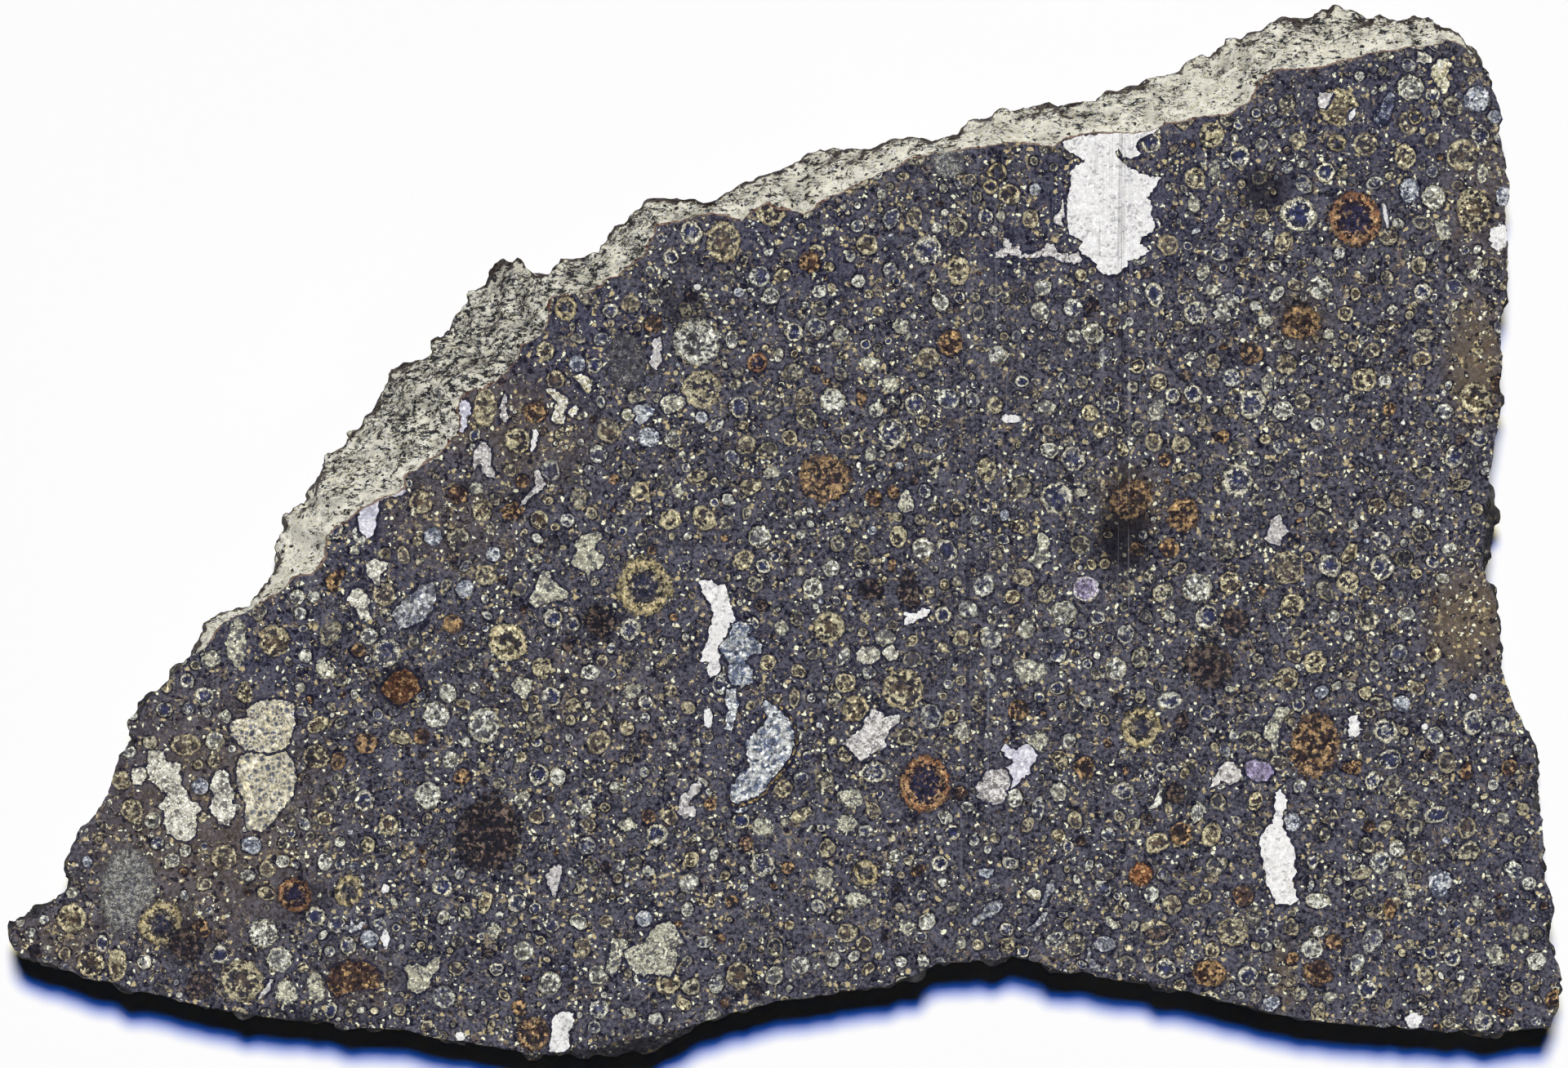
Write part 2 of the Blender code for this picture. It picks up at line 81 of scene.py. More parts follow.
# What each kind of grain is made of: mid crystals with dark and bright ones among them, a rim and a core.
# darks and brights are the shares of such crystals, rimWide and coreWide shares of the radius, and crystal
# is in mm. edge and wobble say how ragged and how far from round it is, clear how well it stands out, split
# how dark the joints between its crystals are, and even how far its mottling is evened out.
looks = {
    "pale": dict(mid=("#b1ae93", "#908f81"), dark="#3d3d4a", bright="#fafaec", darks=0.32, brights=0.40,
                 rim="#e0dab7", rimWide=(0.05, 0.14), core="#91939b", coreWide=(0, 0),
                 crystal=0.17, edge=0.09, wobble=0.09, clear=(0.85, 1)),
    "golden": dict(mid=("#72674f", "#5a5249"), dark="#232231", bright="#eee4bb", darks=0.34, brights=0.34,
                   rim="#c4b48d", rimWide=(0.08, 0.26), core="#6c5947", coreWide=(0, 0.5),
                   crystal=0.18, edge=0.08, wobble=0.09, clear=(0.6, 1)),
    "olive": dict(mid=("#56534b", "#4a4a4c"), dark="#212335", bright="#e2dbbc", darks=0.34, brights=0.26,
                  rim="#a39b79", rimWide=(0.06, 0.24), core="#534b48", coreWide=(0, 0.55),
                  crystal=0.17, edge=0.08, wobble=0.10, clear=(0.5, 1)),
    "grey": dict(mid=("#77777e", "#5a5c69"), dark="#262741", bright="#fafae5", darks=0.32, brights=0.28,
                 rim="#b7b6a9", rimWide=(0.06, 0.22), core="#505678", coreWide=(0, 0.5),
                 crystal=0.17, edge=0.08, wobble=0.09, clear=(0.6, 1)),
    "white": dict(mid=("#fcfaf8", "#f7f5f3"), dark="#b5b4b9", bright="#fcfcfc", darks=0.10, brights=0.4,
                  rim="#e3e1e1", rimWide=(0, 0), core="#e7e3dd", coreWide=(0, 0),
                  crystal=0.14, edge=0.12, wobble=0.15, split=0.28, even=0.8, clear=(0.95, 1)),
    "cream": dict(mid=("#d6d2b7", "#bfbca4"), dark="#4a4a57", bright="#fafae0", darks=0.26, brights=0.34,
                  rim="#c3c0a7", rimWide=(0, 0), core="#b9b6a0", coreWide=(0, 0),
                  crystal=0.15, edge=0.16, wobble=0.24, split=0.55, even=0.3, clear=(0.85, 1)),
    "paleCream": dict(mid=("#e8e4cf", "#d8d4bf"), dark="#5e5d62", bright="#fcfbee", darks=0.2, brights=0.4,
                      rim="#d8d4bf", rimWide=(0, 0), core="#d0ccb8", coreWide=(0, 0),
                      crystal=0.15, edge=0.16, wobble=0.1, split=0.5, even=0.35, clear=(1, 1)),
    "speckled": dict(mid=("#565a6c", "#676a75"), dark="#e9dfbc", bright="#f0ebd9", darks=0.06, brights=0.21,
                     rim="#d8c58c", rimWide=(0, 0), core="#85858a", coreWide=(0, 0),
                     crystal=0.28, edge=0.05, wobble=0.12, split=0.6, even=0.2, clear=(1, 1)),
    "rustRing": dict(mid=("#483530", "#3b2d30"), dark="#281f28", bright="#cda87c", darks=0.36, brights=0.22,
                     rim="#93694b", rimWide=(0.20, 0.26), core="#282b48", coreWide=(0.56, 0.62),
                     crystal=0.17, edge=0.07, wobble=0.07, clear=(1, 1)),
    "goldRing": dict(mid=("#5a534b", "#6e6552"), dark="#2b2b34", bright="#b8ac8d", darks=0.40, brights=0.25,
                     rim="#c1b184", rimWide=(0.24, 0.34), core="#2c2f4a", coreWide=(0.40, 0.52),
                     crystal=0.17, edge=0.09, wobble=0.08, clear=(1, 1)),
    "rust": dict(mid=("#56453e", "#453734"), dark="#1d1820", bright="#cfaa78", darks=0.40, brights=0.25,
                 rim="#5f4b3f", rimWide=(0.06, 0.16), core="#6e4c3a", coreWide=(0, 0),
                 crystal=0.19, edge=0.09, wobble=0.10, clear=(0.85, 1)),
    "ringed": dict(mid=("#5d5d62", "#484a59"), dark="#262843", bright="#faf5e0", darks=0.36, brights=0.24,
                   rim="#ddd8ba", rimWide=(0.14, 0.26), core="#2f355c", coreWide=(0.40, 0.62),
                   crystal=0.17, edge=0.09, wobble=0.09, clear=(0.8, 1)),
    "blue": dict(mid=("#a6acb2", "#8a919c"), dark="#333950", bright="#fafafa", darks=0.30, brights=0.30,
                 rim="#6f7684", rimWide=(0.08, 0.16), core="#bec5cf", coreWide=(0, 0),
                 crystal=0.13, edge=0.07, wobble=0.09, even=0.3, clear=(0.85, 1)),
    "dullWhite": dict(mid=("#dedad5", "#d7d2cf"), dark="#7c787a", bright="#f6f3ee", darks=0.24, brights=0.35,
                      rim="#d7d2cf", rimWide=(0, 0), core="#b7b7c2", coreWide=(0, 0),
                      crystal=0.14, edge=0.1, wobble=0.1, even=0.5, clear=(1, 1)),
    "lavenderWhite": dict(mid=("#e4e0ea", "#dddae6"), dark="#aeadbb", bright="#faf9fa",
                          darks=0.2, brights=0.35, rim="#dddae6", rimWide=(0, 0),
                          core="#c5c9dd", coreWide=(0, 0),
                          crystal=0.14, edge=0.1, wobble=0.1, even=0.6, clear=(1, 1)),
    "blueSpotted": dict(mid=("#b7bbbb", "#acb2b6"), dark="#454f6b", bright="#fafaf5",
                        darks=0.28, brights=0.36, rim="#b7bbbb", rimWide=(0, 0),
                        core="#929bab", coreWide=(0, 0),
                        crystal=0.16, edge=0.1, wobble=0.1, even=0.15, clear=(1, 1)),
    "ashen": dict(mid=("#a3a5a9", "#999b9f"), dark="#4d5062", bright="#e6e6e4", darks=0.3, brights=0.3,
                  rim="#999b9f", rimWide=(0, 0), core="#8f9197", coreWide=(0, 0),
                  crystal=0.15, edge=0.1, wobble=0.1, clear=(0.9, 0.9)),
    "goldenRim": dict(mid=("#a88f58", "#9b844b"), dark="#584630", bright="#d8bf7f", darks=0.3, brights=0.3,
                      rim="#9b844b", rimWide=(0, 0), core="#9b844b", coreWide=(0, 0),
                      crystal=0.15, edge=0.1, wobble=0.1, clear=(0.9, 0.9)),
    "brightRust": dict(mid=("#8f6042", "#7c533e"), dark="#33231f", bright="#dcb07e", darks=0.34, brights=0.34,
                       rim="#513426", rimWide=(0, 0), core="#a8704b", coreWide=(0, 0),
                       crystal=0.18, edge=0.1, wobble=0.1, split=0.6, clear=(1, 1)),
    # The dark line round the grains whose outlines are read from the photo.
    "outline": dict(mid=("#1c1d33", "#1c1d33"), dark="#12132a", bright="#33354d", darks=0.3, brights=0.15,
                    rim="#1c1d33", rimWide=(0, 0), core="#1c1d33", coreWide=(0, 0),
                    crystal=0.14, edge=0.1, wobble=0.1, clear=(0.8, 0.8)),
    "steel": dict(mid=("#7c8191", "#6f7589"), dark="#20243a", bright="#c3c6cc", darks=0.3, brights=0.30,
                  rim="#5e6479", rimWide=(0, 0), core="#4c5268", coreWide=(0, 0),
                  crystal=0.16, edge=0.1, wobble=0.1, clear=(1, 1)),
    "brightCream": dict(mid=("#f6f2d3", "#ebe6c5"), dark="#65625a", bright="#fafaf8", darks=0.2, brights=0.4,
                        rim="#ebe6c5", rimWide=(0, 0), core="#d8c58c", coreWide=(0, 0),
                        crystal=0.16, edge=0.1, wobble=0.1, split=0.5, even=0.4, clear=(1, 1)),
    "lavender": dict(mid=("#a49bb1", "#9890a5"), dark="#645c78", bright="#ddd6e6", darks=0.25, brights=0.3,
                     rim="#e5e0ce", rimWide=(0.16, 0.24), core="#9187a6", coreWide=(0.3, 0.4),
                     crystal=0.12, edge=0.07, wobble=0.08, clear=(1, 1)),
    "dark": dict(mid=("#2d2835", "#24202d"), dark="#1a1921", bright="#8d7868", darks=0.4, brights=0.24,
                 rim="#1d1c26", rimWide=(0.05, 0.1), core="#412e2a", coreWide=(0, 0),
                 crystal=0.18, edge=0.12, wobble=0.13, clear=(0.8, 1)),
    "slate": dict(mid=("#5b595c", "#504f56"), dark="#393843", bright="#8f8c85", darks=0.25, brights=0.18,
                  rim="#55545a", rimWide=(0, 0), core="#5d5c60", coreWide=(0, 0),
                  crystal=0.09, edge=0.12, wobble=0.10, clear=(0.9, 1)),
    "smooth": dict(mid=("#757571", "#6b6b6e"), dark="#4a4a55", bright="#b9b8ad", darks=0.25, brights=0.25,
                   rim="#75747a", rimWide=(0, 0), core="#818183", coreWide=(0, 0),
                   crystal=0.09, edge=0.12, wobble=0.10, clear=(0.8, 0.9)),
}

plainSplit = 0.4  # of the kinds that give no split of their own

# The grains that the photo shows, by kind: x, y and radius in its pixels, or x, y, two radii and a turn.
# Later kinds lie over earlier ones. Turns are clockwise as the photo shows them, here and below.
shownGrains = {
    "smooth": [(157, 1090, 35, 58, 0), (1162, 198, 22)],
    "slate": [(767, 441, 25, 38, 0)],
    "cream": [
        (290, 788, 13, 30, 0), (258, 806, 13),
        (351, 1216, 13, 18, 0), (387, 1208, 12, 20, 0),
        (1089, 471, 12),
        (1066, 445, 12, 15, 0), (1262, 822, 24, 15, 0),
        (1041, 978, 16, 14, 0), (1036, 1009, 15, 11, 0),
        (934, 1013, 15, 12, 0), (1009, 1076, 13, 18, 0), (1050, 1102, 18, 9, 0), (1281, 499, 15, 10, 0),
        (1215, 1109, 12),
        (1767, 282, 10, 14, -30), (1815, 212, 7, 14, 0), (1487, 210, 8, 16, 0), (1490, 303, 11),
        (1462, 250, 8, 12, 0), (1226, 265, 6, 8, 0),
    ],
    "pale": [
        (852, 419, 30), (1466, 720, 19), (1020, 490, 16), (944, 363, 11), (1073, 502, 10),
        (342, 1175, 17), (323, 1143, 19), (211, 1054, 10), (227, 1042, 8), (187, 1005, 11),
        (346, 1055, 9), (1339, 409, 14), (1130, 672, 14), (930, 657, 15), (1616, 352, 15),
        (1571, 503, 13), (593, 888, 22), (534, 876, 17), (524, 974, 17), (1653, 779, 8),
        (1633, 755, 8), (263, 907, 12), (364, 731, 10), (384, 731, 8), (452, 779, 11),
        (374, 803, 9), (1051, 344, 9), (1003, 357, 9), (1277, 352, 11), (1273, 381, 12),
        (1303, 750, 17, 15, 0), (1366, 819, 14), (1221, 435, 12), (673, 1204, 15),
        (980, 1182, 12), (1020, 1175, 10), (1607, 1162, 14), (1711, 1039, 11), (1881, 1177, 13),
        (1727, 107, 17), (796, 331, 6), (1079, 237, 6), (1074, 212, 8), (1155, 231, 6),
        (1147, 279, 7), (1205, 286, 4), (1050, 252, 5), (1665, 93, 7), (1545, 176, 8),
        (1758, 139, 6), (1512, 168, 5), (1640, 310, 8, 9, 20),
    ],
    "golden": [
        (1416, 1142, 22, 16, 0), (296, 1201, 27), (622, 787, 25), (1106, 845, 27),
        (886, 296, 22, 26, 0), (859, 477, 25), (594, 499, 15, 25, 0), (745, 528, 15), (634, 539, 17),
        (88, 1125, 19), (111, 1181, 17), (144, 1181, 12, 22, 0), (275, 1050, 17), (336, 785, 20),
        (470, 728, 15), (664, 818, 14), (1804, 257, 22, 28, -15), (1790, 190, 20), (1575, 695, 22),
        (1806, 487, 20), (1670, 465, 16), (1509, 1141, 19), (1048, 868, 17), (227, 912, 20, 14, 0),
        (149, 955, 13), (943, 257, 20), (1639, 131, 25), (905, 1194, 17), (959, 966, 12),
        (1015, 768, 20), (1435, 1108, 13), (1413, 541, 12), (1446, 544, 12), (1173, 331, 14, 20, 0),
        (558, 512, 12), (515, 615, 15), (590, 627, 12), (556, 605, 14), (680, 465, 12), (668, 430, 12),
        (772, 372, 12), (1000, 310, 12), (1062, 300, 14), (1236, 238, 14), (1262, 268, 12),
        (1725, 150, 14), (1590, 172, 12), (1484, 165, 16), (1700, 290, 12), (1430, 300, 14),
        (1545, 265, 10),
    ],
    "rust": [
        (1009, 586, 33), (1593, 395, 26, 22, 0),
        (1610, 913, 33, 42, 10), (1385, 611, 28), (1449, 631, 22), (1432, 671, 13),
        (517, 902, 11), (1481, 1192, 23, 17, 0), (1614, 1192, 19, 18, 0), (653, 1266, 22),
        (1328, 940, 13, 16, 0), (655, 505, 15), (247, 1138, 12), (1522, 1097, 14), (1532, 432, 16),
        (1446, 1021, 15), (992, 321, 15), (560, 606, 13), (566, 951, 11), (555, 764, 13),
        (1060, 1068, 20), (1164, 420, 17), (800, 397, 12), (795, 1000, 10),
        (640, 590, 9), (1391, 672, 12, 9, 0), (870, 985, 9), (1848, 940, 11), (1500, 70, 8),
    ],
    "brightRust": [(1397, 1071, 16)],
    "ringed": [
        (1294, 610, 21), (1314, 562, 16), (1533, 494, 18), (1628, 692, 15), (1692, 695, 16),
        (1460, 482, 12), (1155, 753, 11), (1121, 494, 14), (846, 285, 15),
        (1136, 306, 18), (269, 1169, 12), (177, 1178, 10), (125, 1155, 8, 12, 0), (446, 981, 14),
        (659, 948, 13), (474, 799, 18), (907, 1005, 11), (804, 1022, 14), (934, 1059, 16),
        (1070, 946, 16, 14, 0), (1167, 1019, 10), (1151, 1058, 11), (1130, 1097, 8), (1478, 873, 10),
        (1590, 263, 23), (1464, 383, 15), (1436, 484, 10), (1780, 560, 12, 15, 0), (1812, 537, 11),
        (1696, 895, 16), (1778, 1174, 11), (1674, 1211, 13), (1816, 1252, 12), (633, 1106, 12),
        (675, 1133, 10), (972, 407, 12), (1092, 531, 20), (1478, 756, 15), (1623, 211, 13),
        (250, 852, 12), (201, 869, 10), (747, 380, 10), (728, 447, 10),
        (1427, 1186, 13), (1528, 1195, 13), (1804, 885, 13, 17, 0), (1207, 265, 10), (1493, 308, 12),
        (677, 757, 12), (702, 764, 9), (386, 1122, 13), (412, 1132, 11), (426, 1158, 11),
        (1515, 588, 21), (822, 314, 10), (1518, 192, 14),
    ],
    "blue": [
        (794, 536, 14), (569, 721, 12), (245, 963, 11), (1809, 121, 17), (1841, 240, 9, 14, 0),
        (530, 657, 12), (452, 1150, 12), (789, 1125, 11), (604, 679, 10),
        (707, 445, 11), (1582, 1007, 12), (1726, 233, 13, 16, 0),
        (1213, 208, 8), (1830, 143, 9), (1267, 232, 8), (859, 511, 8), (1763, 1082, 15, 18, 0),
        (905, 985, 12), (1516, 760, 10),
    ],
    "lavender": [(1330, 721, 17)],
    "rustRing": [(1659, 268, 34), (1133, 960, 33, 36, 0), (361, 1096, 22), (927, 444, 13)],
    "goldRing": [
        (197, 1131, 28), (789, 718, 37), (1397, 891, 26), (427, 1091, 19, 20, 0), (1060, 1068, 16),
        (1221, 212, 13), (1213, 228, 10), (693, 378, 15), (1637, 175, 13, 11, 0), (1733, 144, 9),
    ],
    "dark": [
        (1415, 1144, 15, 8, 0), (735, 762, 20), (1513, 762, 18), (228, 1158, 20), (1440, 972, 13),
        (1369, 855, 7, 5, 0), (245, 1208, 20, 18, 0), (743, 1062, 7), (1841, 1119, 10),
        (1113, 722, 15, 25, 0), (1066, 722, 18, 13, 0), (1481, 814, 31), (1750, 925, 8),
        (598, 1020, 42, 50, 0),
    ],
    "white": [
        (472, 1150, 6, 12, 0), (472, 1088, 6), (867, 879, 6, 14, 0),
        (1238, 513, 14, 6, 0),
        (1731, 1249, 11, 10, 0), (854, 351, 6, 4, 30), (1697, 265, 3, 16, -10),
        (563, 1269, 6),
        (1656, 140, 4, 9, 25), (1804, 853, 5), (1744, 890, 5), (1835, 290, 13, 17, 0),
    ],
}

# Grains with an outline of their own, read from the photo: what they are made of, and their corners.
shownShapes = {
    "topComposite": ("brightCream", [
        (1763, 72), (1773, 73), (1778, 78), (1775, 88), (1770, 95), (1775, 100), (1773, 110), (1767, 115),
        (1763, 107), (1758, 100), (1753, 93), (1752, 83), (1757, 78),
    ]),
    "topBright": ("paleCream", [(1735, 63), (1745, 65), (1753, 70), (1752, 77), (1743, 78), (1735, 75)]),
    "blueWedge": ("steel", [
        (1702, 112), (1710, 120), (1707, 132), (1698, 150), (1690, 155), (1682, 147), (1683, 140),
        (1692, 128),
    ]),
    "topAngular": ("dullWhite", [
        (1618, 112), (1632, 115), (1627, 125), (1623, 133), (1615, 130), (1613, 120),
    ]),
    "popcornVein": ("brightCream", [
        (669, 476), (680, 477), (690, 484), (696, 491), (695, 499), (690, 506), (692, 512), (690, 519),
        (682, 519), (676, 515), (677, 507), (680, 499), (682, 492), (677, 487), (670, 481),
    ]),
    "popcornBit": ("brightCream", [(704, 497), (709, 500), (706, 506), (702, 511), (697, 509), (696, 502)]),
    "longFluff": ("dullWhite", [
        (589, 540), (595, 542), (601, 550), (602, 560), (601, 570), (607, 580), (605, 585), (597, 584),
        (591, 576), (587, 567), (584, 570), (579, 580), (581, 560), (582, 550), (586, 545),
    ]),
    "yellowClump": ("brightCream", [
        (702, 461), (712, 457), (719, 461), (726, 466), (724, 477), (720, 482), (715, 479), (710, 472),
        (706, 467),
    ]),
    "blueFluff": ("blueSpotted", [
        (775, 500), (782, 496), (791, 494), (797, 499), (802, 502), (797, 510), (790, 517), (782, 519),
        (778, 515), (780, 509), (775, 505),
    ]),
    "creamFluff": ("cream", [
        (808, 497), (812, 487), (825, 481), (837, 486), (840, 495), (835, 500), (825, 505), (815, 506),
    ]),
    "slantedWhite": ("ashen", [
        (1217, 1103), (1225, 1102), (1228, 1110), (1222, 1118), (1213, 1123), (1203, 1127), (1197, 1132),
        (1187, 1132), (1193, 1125), (1205, 1115), (1208, 1108),
    ]),
    "upperStreak": ("ashen", [
        (1283, 1081), (1292, 1082), (1290, 1090), (1283, 1100), (1280, 1110), (1275, 1112),
        (1276, 1100), (1280, 1090),
    ]),
    "lowerStreak": ("ashen", [
        (1277, 1117), (1282, 1118), (1278, 1128), (1270, 1135), (1265, 1140), (1257, 1143), (1258, 1139),
        (1267, 1132), (1273, 1123),
    ]),
    "streakCream": ("brightCream", [
        (1257, 1092), (1265, 1087), (1275, 1092), (1274, 1102), (1267, 1102), (1260, 1098),
    ]),
    "streakBlue": ("blueSpotted", [
        (1197, 1067), (1205, 1063), (1217, 1065), (1215, 1072), (1208, 1075), (1200, 1073),
    ]),
    "lowAngular": ("ashen", [
        (1340, 1152), (1350, 1147), (1367, 1152), (1365, 1160), (1353, 1166), (1342, 1163),
    ]),
    "lowTorn": ("cream", [
        (1350, 1123), (1358, 1122), (1365, 1128), (1370, 1127), (1373, 1135), (1363, 1138), (1355, 1133),
    ]),
    "lowColumn": ("ashen", [
        (1332, 1160), (1337, 1162), (1335, 1173), (1347, 1182), (1350, 1192), (1337, 1188), (1330, 1177),
    ]),
    "largeWhite": ("white", [
        (1300, 174), (1318, 168), (1340, 165), (1358, 160), (1372, 160), (1390, 161), (1404, 158),
        (1420, 158), (1406, 166), (1394, 172), (1391, 180), (1396, 188), (1385, 194), (1376, 192),
        (1370, 180), (1366, 186), (1370, 194), (1376, 201), (1388, 208), (1398, 214), (1408, 216),
        (1421, 218), (1413, 232), (1405, 242), (1412, 252), (1408, 263), (1415, 275), (1410, 283),
        (1399, 291), (1396, 298), (1407, 307), (1400, 313), (1392, 317), (1381, 318), (1379, 325),
        (1370, 335), (1357, 338), (1345, 331), (1341, 322), (1333, 316), (1323, 310), (1320, 302),
        (1327, 295), (1312, 288), (1307, 278), (1308, 265), (1306, 252), (1308, 238), (1312, 224),
        (1311, 212), (1318, 203), (1329, 197), (1318, 190), (1306, 184),
    ]),
    "whiteSliver": ("dullWhite", [
        (1301, 243), (1304, 262), (1299, 268), (1303, 277), (1297, 276), (1290, 271), (1293, 262),
        (1298, 259),
    ]),
    "whiteArm": ("dullWhite", [
        (1219, 316), (1220, 308), (1232, 304), (1227, 296), (1229, 290), (1237, 293), (1238, 302),
        (1248, 302), (1250, 312), (1264, 310), (1280, 304), (1280, 299), (1289, 298), (1295, 308),
        (1310, 313), (1321, 308), (1326, 318), (1318, 323), (1300, 320), (1290, 315), (1275, 313),
        (1262, 316), (1247, 315), (1235, 311), (1228, 316),
    ]),
    "curvedWhite": ("white", [
        (855, 712), (862, 710), (872, 711), (880, 717), (888, 716), (892, 728), (894, 740), (899, 750),
        (900, 762), (893, 772), (886, 782), (882, 795), (880, 808), (882, 822), (870, 831), (866, 822),
        (868, 812), (858, 809), (860, 798), (866, 785), (869, 770), (873, 755), (872, 742), (864, 733),
        (859, 722),
    ]),
    "uprightWhite": ("white", [
        (1567, 966), (1572, 972), (1576, 980), (1573, 992), (1570, 1003), (1571, 1015), (1578, 1025),
        (1584, 1038), (1587, 1050), (1584, 1056), (1588, 1068), (1583, 1078), (1586, 1090),
        (1590, 1102), (1580, 1108), (1562, 1107), (1560, 1098), (1552, 1085), (1549, 1070),
        (1546, 1055), (1543, 1042), (1543, 1025), (1550, 1015), (1558, 1008), (1562, 995), (1561, 983),
        (1563, 972),
    ]),
    "bone": ("white", [
        (1106, 749), (1115, 750), (1122, 751), (1132, 744), (1138, 746), (1136, 753), (1130, 758),
        (1122, 760), (1115, 763), (1107, 766), (1107, 760), (1110, 755),
    ]),
    "lowWhite": ("lavenderWhite", [
        (1222, 944), (1230, 939), (1242, 935), (1238, 930), (1230, 925), (1227, 917), (1233, 911),
        (1238, 917), (1246, 921), (1249, 914), (1256, 911), (1264, 917), (1271, 924), (1267, 933),
        (1261, 938), (1261, 946), (1255, 952), (1249, 955), (1247, 961), (1236, 966), (1228, 960),
    ]),
    "lowWhiteWorn": ("dullWhite", [
        (1194, 964), (1196, 959), (1203, 956), (1205, 947), (1214, 942), (1222, 944), (1230, 942),
        (1236, 950), (1236, 966), (1230, 967), (1233, 974), (1227, 983), (1217, 985), (1208, 980),
        (1202, 981), (1196, 975), (1200, 971),
    ]),
    "edgeWhite": ("white", [
        (677, 1245), (690, 1238), (702, 1242), (703, 1255), (696, 1265), (697, 1284), (685, 1290),
        (672, 1288), (675, 1275), (676, 1258),
    ]),
    "hookWhite": ("dullWhite", [
        (676, 1062), (686, 1058), (688, 1070), (683, 1085), (680, 1099), (676, 1097), (672, 1084),
        (668, 1072),
    ]),
    "tornWhite": ("dullWhite", [
        (855, 957), (860, 962), (855, 972), (846, 978), (842, 985), (851, 990), (850, 998), (838, 1003),
        (830, 995), (833, 985), (833, 975), (842, 970), (848, 962),
    ]),
    "vein": ("dullWhite", [
        (653, 578), (660, 577), (664, 585), (668, 592), (661, 601), (650, 608), (645, 616), (636, 620),
        (641, 611), (652, 600), (657, 592),
    ]),
    "lowVein": ("dullWhite", [
        (330, 1198), (334, 1200), (331, 1212), (322, 1220), (314, 1229), (316, 1221), (326, 1210),
    ]),
    "drop": ("white", [(652, 527), (657, 525), (660, 530), (658, 540), (653, 552), (650, 553), (651, 541)]),
    "dumbbell": ("dullWhite", [
        (800, 414), (808, 413), (811, 422), (808, 432), (809, 444), (804, 452), (797, 450), (796, 440),
        (801, 432), (799, 424),
    ]),
    "edgeSliver": ("lavenderWhite", [
        (564, 489), (571, 490), (577, 497), (576, 505), (572, 512), (571, 522), (566, 531), (562, 530),
        (565, 520), (564, 510), (562, 500),
    ]),
    "thinWhite": ("dullWhite", [
        (619, 481), (621, 485), (619, 494), (620, 502), (622, 514), (620, 518), (615, 515), (611, 511),
        (614, 506), (612, 501), (614, 494), (616, 487),
    ]),
    "tongue": ("lavenderWhite", [
        (460, 597), (480, 590), (495, 596), (497, 604), (480, 608), (464, 613), (464, 624), (460, 640),
        (458, 654), (450, 659), (441, 650), (438, 640), (441, 625), (447, 615), (450, 605),
    ]),
    "rightWhite": ("white", [
        (1652, 878), (1662, 877), (1665, 888), (1668, 893), (1660, 902), (1650, 902), (1652, 892),
    ]),
    "patchWhite": ("dullWhite", [
        (1556, 636), (1566, 630), (1570, 640), (1577, 650), (1570, 658), (1566, 668), (1556, 666),
        (1548, 658), (1555, 648),
    ]),
    "greyWhite": ("dullWhite", [
        (1068, 869), (1078, 870), (1082, 878), (1102, 876), (1100, 885), (1088, 894), (1084, 905),
        (1086, 915), (1068, 922), (1056, 933), (1047, 925), (1040, 917), (1033, 910), (1042, 903),
        (1055, 892), (1060, 880),
    ]),
    "greyAngular": ("dullWhite", [
        (1495, 937), (1507, 932), (1515, 938), (1522, 950), (1514, 957), (1505, 962), (1498, 955),
        (1488, 962), (1481, 967), (1487, 952), (1492, 945),
    ]),
    "lavenderFlake": ("lavender", [
        (1524, 935), (1537, 930), (1555, 936), (1560, 944), (1552, 955), (1540, 958), (1528, 952),
    ]),
    "lens": ("cream", [
        (1576, 864), (1580, 870), (1572, 880), (1567, 892), (1565, 908), (1563, 925), (1558, 920),
        (1557, 910), (1547, 902), (1548, 892), (1556, 880), (1564, 868),
    ]),
    "crescent": ("pale", [
        (1419, 958), (1424, 965), (1424, 980), (1416, 990), (1407, 990), (1415, 980), (1418, 968),
    ]),
    "smallStar": ("cream", [
        (1107, 599), (1113, 602), (1116, 610), (1120, 620), (1117, 626), (1110, 628), (1103, 625),
        (1100, 620), (1103, 611),
    ]),
    "streakyCream": ("cream", [
        (1274, 651), (1280, 655), (1285, 662), (1284, 675), (1287, 687), (1277, 691), (1271, 699),
        (1265, 690), (1257, 687), (1265, 680), (1271, 667), (1270, 657),
    ]),
    "brightFlake": ("paleCream", [
        (1047, 802), (1057, 792), (1070, 791), (1077, 797), (1079, 805), (1072, 811), (1060, 814),
        (1051, 809),
    ]),
    "flakeAbove": ("cream", [
        (1071, 777), (1080, 770), (1090, 772), (1096, 781), (1093, 790), (1084, 793), (1077, 790),
        (1072, 785),
    ]),
    "flakeBeside": ("paleCream", [
        (1082, 796), (1091, 790), (1100, 797), (1099, 806), (1088, 809), (1081, 803),
    ]),
    "leftFluff": ("paleCream", [
        (180, 920), (200, 921), (203, 933), (220, 935), (221, 948), (222, 962), (230, 972), (233, 982),
        (243, 984), (246, 992), (240, 998), (241, 1012), (238, 1024), (228, 1031), (216, 1026),
        (205, 1020), (200, 1008), (202, 995), (192, 988), (200, 982), (206, 975), (196, 966),
        (187, 958), (180, 955), (178, 945), (182, 932),
    ]),
    "leftFluffEdge": ("paleCream", [(163, 940), (177, 940), (179, 952), (172, 962), (163, 960), (161, 950)]),
    "tallFluff": ("paleCream", [
        (267, 943), (275, 942), (280, 950), (281, 962), (289, 972), (284, 984), (295, 986), (285, 1000),
        (280, 1012), (270, 1010), (264, 1000), (256, 990), (262, 978), (258, 965), (260, 952),
    ]),
    "upperFluff": ("cream", [
        (700, 690), (706, 675), (704, 664), (715, 655), (722, 652), (738, 652), (736, 660), (728, 665),
        (730, 675), (741, 683), (735, 695), (722, 700), (722, 712), (717, 700), (706, 696),
    ]),
